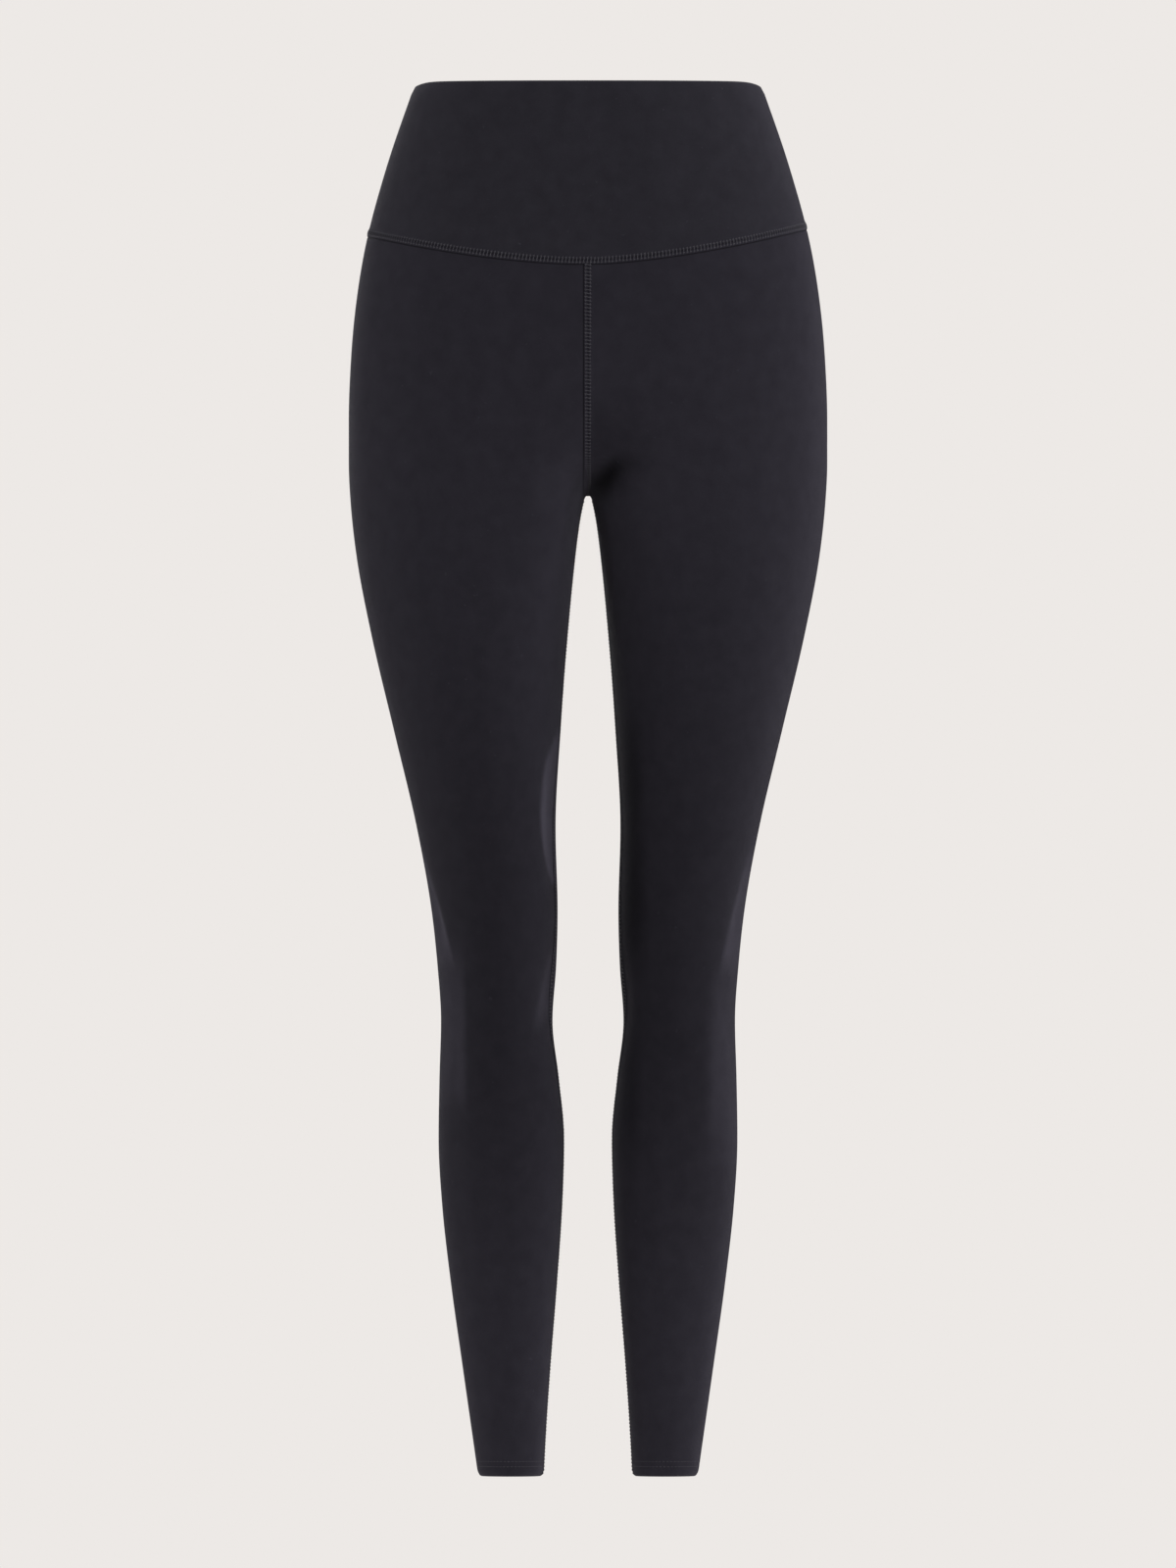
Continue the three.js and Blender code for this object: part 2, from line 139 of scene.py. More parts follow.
class Side(Enum):
    """The wearer's left (+X) or right (-X)."""

    LEFT = 1
    RIGHT = -1


class Facing(Enum):
    """The way a patch of cloth faces, as the sign of its direction along Y."""

    FRONT = -1
    BACK = 1


class Stitch(Enum):
    """The kind of seam stitch: a flat seam's ladder over two rows, or one plain row."""

    LADDER = "ladder"
    PLAIN = "plain"


def mix(low: Array | float, high: Array | float, share: Array | float) -> Array:
    """Goes from low to high as share goes from 0 to 1."""
    return low + (high - low) * share


def smooth(share: Array | float) -> Array:
    """Eases a share in and out, held between 0 and 1."""
    held = np.clip(share, 0.0, 1.0)
    return held * held * (3.0 - 2.0 * held)


def linear(red: float, green: float, blue: float) -> Colour:
    """Scene colour of an 8-bit display colour.

    Args:
        red: Red from 0 to 255.
        green: Green from 0 to 255.
        blue: Blue from 0 to 255.

    Returns:
        The three channels as linear light from 0 to 1.
    """
    shares = [value / 255.0 for value in (red, green, blue)]
    made = [s / 12.92 if s <= 0.04045 else ((s + 0.055) / 1.055) ** 2.4 for s in shares]
    return (made[0], made[1], made[2])


class MeasureCurve:
    """One measure of the form against its drop: cubics through its rows that never pass them."""

    def __init__(self, drops: Array, values: Array) -> None:
        """Works out the slope at each row.

        Args:
            drops: The rows' drops, growing.
            values: The measure at each row.
        """
        self.drops = drops
        self.values = values
        spans = np.diff(drops)
        secants = np.diff(values) / spans
        above, below = secants[:-1], secants[1:]
        free = (above * spans[1:] + below * spans[:-1]) / (spans[:-1] + spans[1:])
        most = 3.0 * np.minimum(np.abs(above), np.abs(below))
        held = np.sign(free) * np.minimum(np.abs(free), most)
        inside = np.where(above * below > 0.0, held, 0.0)
        self.slopes = np.concatenate([secants[:1], inside, secants[-1:]])

    def at(self, drop: Array) -> Array:
        """The measure at each drop.

        Args:
            drop: Drops, held inside the rows.

        Returns:
            The measure at each of them.
        """
        held = np.clip(drop, self.drops[0], self.drops[-1])
        row = np.clip(np.searchsorted(self.drops, held, side="right") - 1, 0, len(self.drops) - 2)
        span = self.drops[row + 1] - self.drops[row]
        t = (held - self.drops[row]) / span
        bends = t * (1.0 - t) ** 2 * self.slopes[row] - t * t * (1.0 - t) * self.slopes[row + 1]
        return mix(self.values[row], self.values[row + 1], smooth(t)) + bends * span


class WornForm:
    """The hollow shape that the cloth takes when worn, given for the half where x >= 0."""

    def __init__(self) -> None:
        """Makes a curve for each column of the two tables."""
        self.curves: dict[str, MeasureCurve] = {}
        for columns, rows in ((SECTION_COLUMNS, SECTION_ROWS), (INNER_COLUMNS, INNER_ROWS)):
            table = np.array(rows, float)
            for place, name in enumerate(columns[1:], start=1):
                self.curves[name] = MeasureCurve(table[:, 0], table[:, place])

    def measures(self, drop: Array) -> dict[str, Array]:
        """Every measure of the form at each drop."""
        return {name: curve.at(drop) for name, curve in self.curves.items()}

    @staticmethod
    def quarter(found: dict[str, Array], outwards: Array, ahead: Array) -> tuple[Array, ...]:
        """The quarter of the leg's lobe that a direction from its middle points into.

        Args:
            found: The measures at each place.
            outwards: True where the direction points away from the centre plane.
            ahead: True where it points to the front.

        Returns:
            The x of the quarter's middle, its reach along X and along Y, and its exponent.
        """
        centre_x = np.where(ahead, found["front_x"], found["back_x"])
        widest = np.hypot(found["outer"], CROTCH_ROUND)
        reach_x = np.where(outwards, widest - centre_x, centre_x - found["inner"])
        reach_y = np.where(ahead, found["front"] + found["mid"], found["back"] - found["mid"])
        power = found["square"] + np.where(outwards, 0.0, found["fuller"])
        return centre_x, reach_x, reach_y, power

    def point(self, turn: Array, drop: Array) -> Array:
        """Points of the form in directions round one leg.

        Args:
            turn: 0 at the leg's inner side, 0.25 front, 0.5 outer side, 0.75 back.
            drop: The drop of each point.

        Returns:
            The points, one row each.
        """
        found = self.measures(drop)
        across = -np.cos(FULL_TURN * turn)
        along = -np.sin(FULL_TURN * turn)
        centre_x, reach_x, reach_y, power = self.quarter(found, across > 0.0, along < 0.0)
        reach = (np.abs(across / reach_x) ** power + np.abs(along / reach_y) ** power) ** (-1.0 / power)
        lobe_x = np.maximum(CROTCH_ROUND, centre_x + reach * across)
        x = np.sqrt(lobe_x**2 - CROTCH_ROUND**2)
        return np.stack([x, found["mid"] + reach * along, -drop + 0.0 * x], axis=-1)

    def beside_centre(self, x: Array, drop: Array, ahead: bool) -> tuple[Array, Array]:
        """Points of the form at a small distance from the centre plane.

        Args:
            x: Distance of each point from the centre plane.
            drop: The drop of each point.
            ahead: True for the front, False for the back.

        Returns:
            The points and the turn of each.
        """
        found = self.measures(drop)
        inwards = np.full(x.shape, False)
        centre_x, reach_x, reach_y, power = self.quarter(found, inwards, np.full(x.shape, ahead))
        lobe_x = np.hypot(x, CROTCH_ROUND)
        share = np.clip((centre_x - lobe_x) / reach_x, 0.0, 1.0)
        along = reach_y * (1.0 - share**power) ** (1.0 / power)
        turn = np.arctan2(along, centre_x - lobe_x) / FULL_TURN
        y = found["mid"] + (-along if ahead else along)
        return np.stack([x, y, -drop + 0.0 * x], axis=-1), (turn if ahead else 1.0 - turn)

    def field_at(self, x: Array, y: Array, drop: Array) -> Array:
        """Zero on the form's outer face, negative inside it and positive outside."""
        found = self.measures(drop)
        lobe_x = np.hypot(x, CROTCH_ROUND)
        ahead = y < found["mid"]
        outwards = lobe_x > np.where(ahead, found["front_x"], found["back_x"])
        centre_x, reach_x, reach_y, power = self.quarter(found, outwards, ahead)
        across = np.abs(lobe_x - centre_x) / reach_x
        return across**power + (np.abs(y - found["mid"]) / reach_y) ** power - 1.0

    def normal(self, points: Array, step: float = 0.25) -> Array:
        """Outward normals of the form, from the slopes of its field.

        Args:
            points: Points on the form, one row each.
            step: How far to either side the slopes are read.

        Returns:
            Unit normals, one row each.
        """
        x, y, drop = points[:, 0], points[:, 1], -points[:, 2]
        slopes = np.stack(
            [
                self.field_at(x + step, y, drop) - self.field_at(x - step, y, drop),
                self.field_at(x, y + step, drop) - self.field_at(x, y - step, drop),
                self.field_at(x, y, drop - step) - self.field_at(x, y, drop + step),
            ],
            axis=-1,
        )
        return unit(slopes)

    def around_per_turn(self, drop: Array) -> Array:
        """Length round the leg that one turn covers at its inner side."""
        found = self.measures(drop)
        return FULL_TURN * (found["front_x"] - found["inner"])


def unit(vectors: Array) -> Array:
    """The vectors at length one, one row each."""
    return vectors / np.linalg.norm(vectors, axis=-1, keepdims=True)


@dataclass(frozen=True)
class Crease:
    """A soft trough (depth above 0) or ridge (below 0) across cloth that faces one way.

    It runs from (x0, drop0) to (x1, drop1) as seen from that way and fades out at both ends.
    inner and outer are the widths of its flanks towards the centre plane and away from it. dark is
    the painted shade: the share by which the cloth's colour is darkened at its deepest place.
    """

    facing: Facing
    side: Side
    x0: float
    drop0: float
    x1: float
    drop1: float
    inner: float
    outer: float
    depth: float
    dark: float = 0.0
    fade: float = 0.35

    def pressed_at(self, points: Array, normals: Array) -> Array:
        """How far each point is pressed in, as a share of the depth.

        Args:
            points: Points on the form.
            normals: The form's normals there.

        Returns:
            The share at each point, from 0 to 1.
        """
        seen = np.stack([points[:, 0], -points[:, 2]], axis=-1)
        start = np.array([self.x0, self.drop0])
        along = np.array([self.x1, self.drop1]) - start
        share = np.clip((seen - start) @ along / (along @ along), 0.0, 1.0)
        off = seen - start - share[:, None] * along
        away = np.linalg.norm(off, axis=-1) / np.where(off[:, 0] < 0.0, self.inner, self.outer)
        faces = smooth(self.facing.value * normals[:, 1] / self.fade)
        return faces * np.exp(-(away**2)) * np.sin(math.pi * share)


@dataclass(frozen=True)
class PaintedFacet:
    """A painted highlight (gain above 0) or painted shade in the colour of front cloth beside a fold.

    It runs along the line from (x0, drop0) to (x1, drop1), from there to the leg's outer side
    (outwards) or its inner side. bow bends the line's middle away from the centre plane, and edge
    is the width over which the facet sets in. It fades out over end_share of its length at each
    end. Where the normal's Y is gone_at it is gone, and turn_reach further forward it is whole.
    """

    side: Side
    x0: float
    drop0: float
    x1: float
    drop1: float
    outwards: bool
    gain: float
    edge: float = 4.0
    end_share: float = 0.25
    bow: float = 0.0
    gone_at: float = 0.25
    turn_reach: float = 0.65

    def mask_at(self, points: Array, normals: Array) -> Array:
        """How much of the facet's gain each point takes.

        Args:
            points: Points on the form.
            normals: The form's normals there.

        Returns:
            The share at each point, from 0 to 1.
        """
        share = (-points[:, 2] - self.drop0) / (self.drop1 - self.drop0)
        held = np.clip(share, 0.0, 1.0)
        line = mix(self.x0, self.x1, held) + 4.0 * self.bow * held * (1.0 - held)
        beyond = (points[:, 0] - line) * (1.0 if self.outwards else -1.0)
        ends = smooth(share / self.end_share) * smooth((1.0 - share) / self.end_share)
        faces = smooth((self.gone_at - normals[:, 1]) / self.turn_reach)
        return smooth(0.5 + beyond / self.edge) * ends * faces


@dataclass(frozen=True)
class SeamRelief:
    """A flat seam's form across it: a raised band with a groove in it and one beside its edge.

    groove and edge_groove are the depths of the two. groove_dark is the share of painted shade in
    the first, and edge_dark the painted shade in the other for each millimetre of its depth.
    """

    lift: float = 0.25
    half_width: float = 2.6
    shoulder: float = 0.5
    groove: float = 0.45
    groove_reach: float = 0.7
    edge_groove: float = 0.0
    edge_reach: float = 0.75
    edge_offset: float = 0.6
    groove_dark: float = 0.6
    edge_dark: float = 3.0

    def edge_share(self, distance: Array) -> Array:
        """How near each place is to the groove beside the band's edge, from 0 to 1."""
        beside = np.abs(distance - self.half_width - self.edge_offset) / self.edge_reach
        return 1.0 - smooth(beside)

    def groove_shade_at(self, distance: Array) -> Array:
        """How much painted shade each place gets in the two grooves, from 0 to 1."""
        at_edge = self.edge_share(distance) * min(1.0, self.edge_groove * self.edge_dark)
        in_groove = 1.0 - smooth(distance / self.groove_reach)
        return np.maximum(at_edge, self.groove_dark * in_groove)

    def lift_at(self, distance: Array) -> Array:
        """How far the cloth stands proud at each distance from the seam line."""
        band = self.lift * (1.0 - smooth((distance - self.half_width) / self.shoulder))
        band = band - self.edge_groove * self.edge_share(distance)
        return band - self.groove * (1.0 - smooth(distance / self.groove_reach))


@dataclass(frozen=True)
class WaistSeam:
    """The waistband's lower seam: its drop at the centre front, centre back and sides."""

    front: float = 130.0
    back: float = 124.0
    side: float = 106.5
    skew: float = 2.6
    sharpness: float = 1.6

    def drop_at(self, across: Array, ahead: Array) -> Array:
        """The seam's drop at each signed share of the half width.

        Args:
            across: From -1 at the wearer's right side to 1 at the left.
            ahead: True on the front, False on the back.

        Returns:
            The drop at each place.
        """
        centre = np.where(ahead, self.front, self.back)
        return mix(centre, self.side, np.abs(across) ** self.sharpness) - self.skew * across


@dataclass(frozen=True)
class Inseam:
    """Where the inseam runs: forward of the leg's innermost line by so much at each drop."""

    start: float = CROTCH_DROP
    drops: tuple[float, ...] = (CROTCH_DROP, 390.0, 640.0, 760.0, LENGTH)
    forward: tuple[float, ...] = (0.0, 9.0, 14.0, 6.0, 2.0)

    def turn_at(self, form: WornForm, drop: float) -> float:
        """The turn of the inseam at a drop.

        Args:
            form: The worn form.
            drop: The drop.

        Returns:
            The turn, 0 at the leg's innermost line.
        """
        if drop <= self.start:
            return 0.0
        ahead = MeasureCurve(np.array(self.drops), np.array(self.forward)).at(np.array([drop]))
        return float((ahead / form.around_per_turn(np.array([drop])))[0])


@dataclass
class Row:
    """One row of places across a cloth wall, in the order in which they lie along it."""

    keys: Array
    outer: Array
    inner: Array
    around: Array
    down: Array
    # Painted highlights and painted shade at each place, as shares of the cloth's brightness.
    shade: Array


@dataclass
class WallRow:
    """A row in its wall: its keys, the numbers of its points and their cloth coordinates."""

    keys: list[float]
    outer: list[int]
    inner: list[int]
    places: list[ClothPlace]
    closed: bool


class Wall:
    """A closed wall of cloth made of rows of paired outer and inner points."""

    SAME_KEY = 1e-9

    def __init__(self, flipped: bool) -> None:
        """Starts an empty wall.

        Args:
            flipped: True where its rows run the other way round.
        """
        self.flipped = flipped
        self.points: list[Array] = []
        self.shade: list[Array] = []
        self.count = 0
        self.faces: list[tuple[int, ...]] = []
        self.corners: list[ClothPlace] = []
        self.rows: list[WallRow] = []

    def add_row(self, row: Row, closed: bool) -> None:
        """Adds a row's points. A closed row is a ring, so it ends on its own first point.

        Args:
            row: The row.
            closed: True for a ring.
        """
        size = len(row.keys)
        outer = list(range(self.count, self.count + size))
        inner = list(range(self.count + size, self.count + 2 * size))
        self.points += [row.outer, row.inner]
        self.shade += [row.shade, 0.0 * row.shade]
        self.count += 2 * size
        keys, around, down = list(row.keys), list(row.around), list(row.down)
        if closed:
            outer.append(outer[0])
            inner.append(inner[0])
            step = np.linalg.norm(row.outer[0] - row.outer[-1])
            keys.append(keys[-1] + 1.0)
            around.append(around[-1] + float(step))
            down.append(down[0])
        self.rows.append(WallRow(keys, outer, inner, list(zip(around, down)), closed))

    def add_face(self, corners: list[tuple[int, ClothPlace]]) -> None:
        """Adds one face from pairs of a point and its cloth coordinates."""
        ordered = corners[::-1] if self.flipped else corners
        self.faces.append(tuple(point for point, _ in ordered))
        self.corners += [uv for _, uv in ordered]

    def join_rows(self, top: WallRow, low: WallRow) -> None:
        """Makes the outer and inner faces between two rows.

        Each step goes on along the row whose next key is the lower one, or along both.

        Args:
            top: The upper row.
            low: The lower row.
        """
        i, j = 0, 0
        last_top, last_low = len(top.keys) - 1, len(low.keys) - 1
        while i < last_top or j < last_low:
            next_top = top.keys[i + 1] if i < last_top else math.inf
            next_low = low.keys[j + 1] if j < last_low else math.inf
            both = abs(next_top - next_low) < self.SAME_KEY
            step_top = next_top <= next_low or both
            step_low = next_low <= next_top or both
            for above, below, outside in ((top.outer, low.outer, True), (top.inner, low.inner, False)):
                face = [(above[i], top.places[i]), (below[j], low.places[j])]
                if step_low:
                    face.append((below[j + 1], low.places[j + 1]))
                if step_top:
                    face.append((above[i + 1], top.places[i + 1]))
                self.add_face(face if outside else face[::-1])
            i += step_top
            j += step_low

    def add_edge(self, row_from: WallRow, at_from: int, row_to: WallRow, at_to: int) -> None:
        """Closes the wall's edge between one place and the next.

        Args:
            row_from: The row of the first place.
            at_from: Where in it the first place is.
            row_to: The row of the next place.
            at_to: Where in it the next place is.
        """
        self.add_face(
            [
                (row_from.outer[at_from], row_from.places[at_from]),
                (row_from.inner[at_from], row_from.places[at_from]),
                (row_to.inner[at_to], row_to.places[at_to]),
                (row_to.outer[at_to], row_to.places[at_to]),
            ]
        )

    def finished(self, name: str) -> bpy.types.Object:
        """Joins the rows into a closed mesh and puts it in the scene.

        Args:
            name: The piece's name.

        Returns:
            The new object, at the origin.
        """
        for top, low in zip(self.rows, self.rows[1:]):
            self.join_rows(top, low)
            if not top.closed:
                self.add_edge(top, 0, low, 0)
                self.add_edge(low, -1, top, -1)
        first, last = self.rows[0], self.rows[-1]
        for place in range(len(first.keys) - 1):
            self.add_edge(first, place + 1, first, place)
        for place in range(len(last.keys) - 1):
            self.add_edge(last, place, last, place + 1)
        mesh = bpy.data.meshes.new(name)
        mesh.from_pydata((np.concatenate(self.points) * METRES).tolist(), [], self.faces)
        layer = mesh.uv_layers.new(name=UV_NAME)
        layer.data.foreach_set("uv", (np.array(self.corners) * METRES).ravel())
        # The painted highlights and painted shade go on as a point attribute that the cloth's material
        # reads.
        shade = mesh.attributes.new(SHADE_NAME, "FLOAT", "POINT")
        shade.data.foreach_set("value", np.concatenate(self.shade))
        mesh.polygons.foreach_set("use_smooth", [True] * len(mesh.polygons))
        mesh.update()
        made = bpy.data.objects.new(name, mesh)
        bpy.context.scene.collection.objects.link(made)
        return made


@dataclass(frozen=True)
class EdgeFinish:
    """How a free edge ends: it curls in a little and is rolled round."""

    curl_depth: float = 1.6
    curl_reach: float = 5.0
    roll_degrees: tuple[float, ...] = (78.0, 60.0, 42.0, 24.0, 8.0)

    def rolled(self, cloth: float) -> list[tuple[float, float]]:
        """Steps round a folded edge.

        Args:
            cloth: The cloth's thickness at the edge.

        Returns:
            For each step, its distance from the edge and how far each face has rolled in.
        """
        radius = cloth / 2.0
        first = math.sin(math.radians(self.roll_degrees[0]))
        angles = [math.radians(degrees) for degrees in self.roll_degrees]
        return [(radius * (first - math.sin(a)), radius * (1.0 - math.cos(a))) for a in angles]


# The folds that show: in the groin, and beside the knees and calves. The first three, in the left
# groin, carry painted shade, and two of them have little depth or none, so that they are mostly
# painted shade. Then those of the hidden side: under the seat and behind the knees.
CREASES = (
    Crease(Facing.FRONT, Side.LEFT, 1, 304, 38, 262, 12, 12, 3.2, dark=0.45),
    Crease(Facing.FRONT, Side.LEFT, -8, 313, 28, 268, 8, 9, 0.6, dark=0.93),
    Crease(Facing.FRONT, Side.LEFT, 0, 226, 40, 300, 22, 26, 0.0, dark=0.22),
    Crease(Facing.FRONT, Side.RIGHT, 4, 303, 42, 260, 16, 16, 1.3),
    Crease(Facing.FRONT, Side.RIGHT, 127, 550, 99, 650, 5, 15, 2.6),
    Crease(Facing.FRONT, Side.RIGHT, 99, 630, 96, 800, 7, 13, 1.3),
    Crease(Facing.FRONT, Side.RIGHT, 27, 468, 26, 596, 10, 5, 2.3),
    Crease(Facing.FRONT, Side.RIGHT, 24, 620, 33, 696, 9, 6, 1.8),
    Crease(Facing.FRONT, Side.LEFT, 121, 556, 101, 652, 6, 13, 2.2),
    Crease(Facing.FRONT, Side.LEFT, 101, 634, 97, 780, 9, 13, 1.3),
    Crease(Facing.FRONT, Side.LEFT, 23, 632, 29, 686, 7, 5, 1.2),
    Crease(Facing.BACK, Side.LEFT, 22, 302, 114, 312, 13, 13, 2.0),
    Crease(Facing.BACK, Side.RIGHT, 18, 306, 104, 300, 13, 13, 1.6),
    Crease(Facing.BACK, Side.LEFT, 40, 650, 94, 664, 8, 8, 1.8),
    Crease(Facing.BACK, Side.LEFT, 46, 694, 98, 678, 9, 9, 1.3),
    Crease(Facing.BACK, Side.LEFT, 52, 624, 90, 616, 7, 7, 0.9),
    Crease(Facing.BACK, Side.RIGHT, 42, 646, 96, 638, 8, 8, 1.6),
    Crease(Facing.BACK, Side.RIGHT, 36, 678, 88, 694, 8, 8, 1.5),
    Crease(Facing.BACK, Side.RIGHT, 60, 720, 98, 710, 7, 7, 0.8),
)

# Painted highlights and shade beside the knees: where the cloth turns sharply at a fold line, its outer
# part is painted lighter for the side lights, and the left leg's inner side darker for the right leg's
# shade.
PAINTED_FACETS = (
    PaintedFacet(Side.RIGHT, 129, 524, 90, 662, True, 1.35, 3.0, 0.3),
    PaintedFacet(Side.RIGHT, 91, 612, 88, 760, True, 0.75, 7.0, 0.35),
    PaintedFacet(Side.RIGHT, 20, 466, 22, 588, False, 1.6, 3.0, 0.1, 13.0),
    PaintedFacet(Side.RIGHT, 23, 616, 41, 690, False, 0.6, 4.0, 0.3),
    PaintedFacet(Side.LEFT, 122, 538, 90, 662, True, 1.05, 4.0, 0.3),
    PaintedFacet(Side.LEFT, 91, 612, 86, 810, True, 0.5, 12.0, 0.4),
    PaintedFacet(Side.LEFT, 36, 430, 40, 670, False, -0.62, 14.0, 0.3),
    PaintedFacet(Side.LEFT, 9, 286, 30, 500, False, -0.5, 10.0, 0.2),
    PaintedFacet(Side.LEFT, 36, 650, 36, 800, False, -0.3, 12.0, 0.4),
)


@dataclass
class Cloth:
    """What every cloth panel shares: the form, the waist seam, its edges, its creases and its painted
    highlights and shade.
    """

    form: WornForm
    waist: WaistSeam = field(default_factory=WaistSeam)
    edge: EdgeFinish = field(default_factory=EdgeFinish)
    creases: tuple[Crease, ...] = CREASES
    painted_facets: tuple[PaintedFacet, ...] = PAINTED_FACETS
    # groove_loss: how much darker a seam's grooves are painted. most_loss: the most painted shade at any
    # point.
    groove_loss: float = 0.72
    most_loss: float = 0.95

    def skin(self, points: Array, side: Side, edge: Array) -> tuple[Array, Array]:
        """Points moved in by creases and curled edges, and the normals there.

        Args:
            points: Points on the form.
            side: The wearer's side.
            edge: Distance of each from the nearest free edge.

        Returns:
            The moved points and the unit normals, not yet mirrored.
        """
        normals = self.form.normal(points)
        inset = self.edge.curl_depth * np.maximum(0.0, 1.0 - edge / self.edge.curl_reach) ** 2
        for crease in self.creases:
            if side is crease.side:
                inset = inset + crease.depth * crease.pressed_at(points, normals)
        normals[:, 2] *= smooth(edge / self.edge.curl_reach)
        normals = unit(normals)
        return points - normals * inset[:, None], normals

    def shade_at(self, points: Array, side: Side, groove_shade: Array) -> Array:
        """The painted highlights and painted shade of the cloth at each point.

        Args:
            points: Points on the form.
            side: The wearer's side.
            groove_shade: The painted shade of a seam's grooves at each place.

        Returns:
            A share of painted light to add to the cloth's own brightness, below 0 where it is painted
            darker.
        """
        normals = self.form.normal(points)
        gains = [0.0 * groove_shade]
        gains += [f.gain * f.mask_at(points, normals) for f in self.painted_facets if f.side is side]
        losses = [-self.groove_loss * groove_shade]
        losses += [-c.dark * c.pressed_at(points, normals) for c in self.creases if c.side is side]
        stacked = np.stack(gains + losses)
        return stacked.max(axis=0) + np.maximum(stacked.min(axis=0), -self.most_loss)

    def lay(
        self,
        points: Array,
        side: Side,
        cloth: float,
        edge: Array,
        rolled: float,
        lift: Array,
        groove_shade: Array,
        keys: Array,
        start: float,
    ) -> Row:
        """A row of the wall laid on the form.

        Args:
            points: Points on the form, in order along the row.
            side: The wearer's side.
            cloth: The cloth's thickness.
            edge: Distance of each point from the nearest free edge.
            rolled: How far each face has rolled towards the cloth's middle.
            lift: How far the outer face stands proud.
            groove_shade: The painted shade of a seam's grooves at each place.
            keys: Keys that grow along the row.
            start: Cloth coordinate of the row's first point.

        Returns:
            The row, mirrored to its side.
        """
        skin, normals = self.skin(points, side, edge)
        walls = []
        for depth in (rolled - lift, cloth - rolled + 0.0 * lift):
            laid = skin - normals * depth[:, None]
            laid[:, 0] = side.value * np.maximum(0.0, laid[:, 0])
            walls.append(laid)
        steps = np.linalg.norm(np.diff(points, axis=0), axis=-1)
        around = start + np.concatenate([[0.0], np.cumsum(steps)])
        return Row(keys, walls[0], walls[1], around, points[:, 2], self.shade_at(points, side, groove_shade))

    def across_at(self, turn: Array) -> Array:
        """The share of the half width at each turn, read where the waist seam meets the side."""
        reference = np.full(turn.shape, self.waist.side)
        outer = self.form.measures(reference)["outer"]
        return self.form.point(turn, reference)[:, 0] / outer


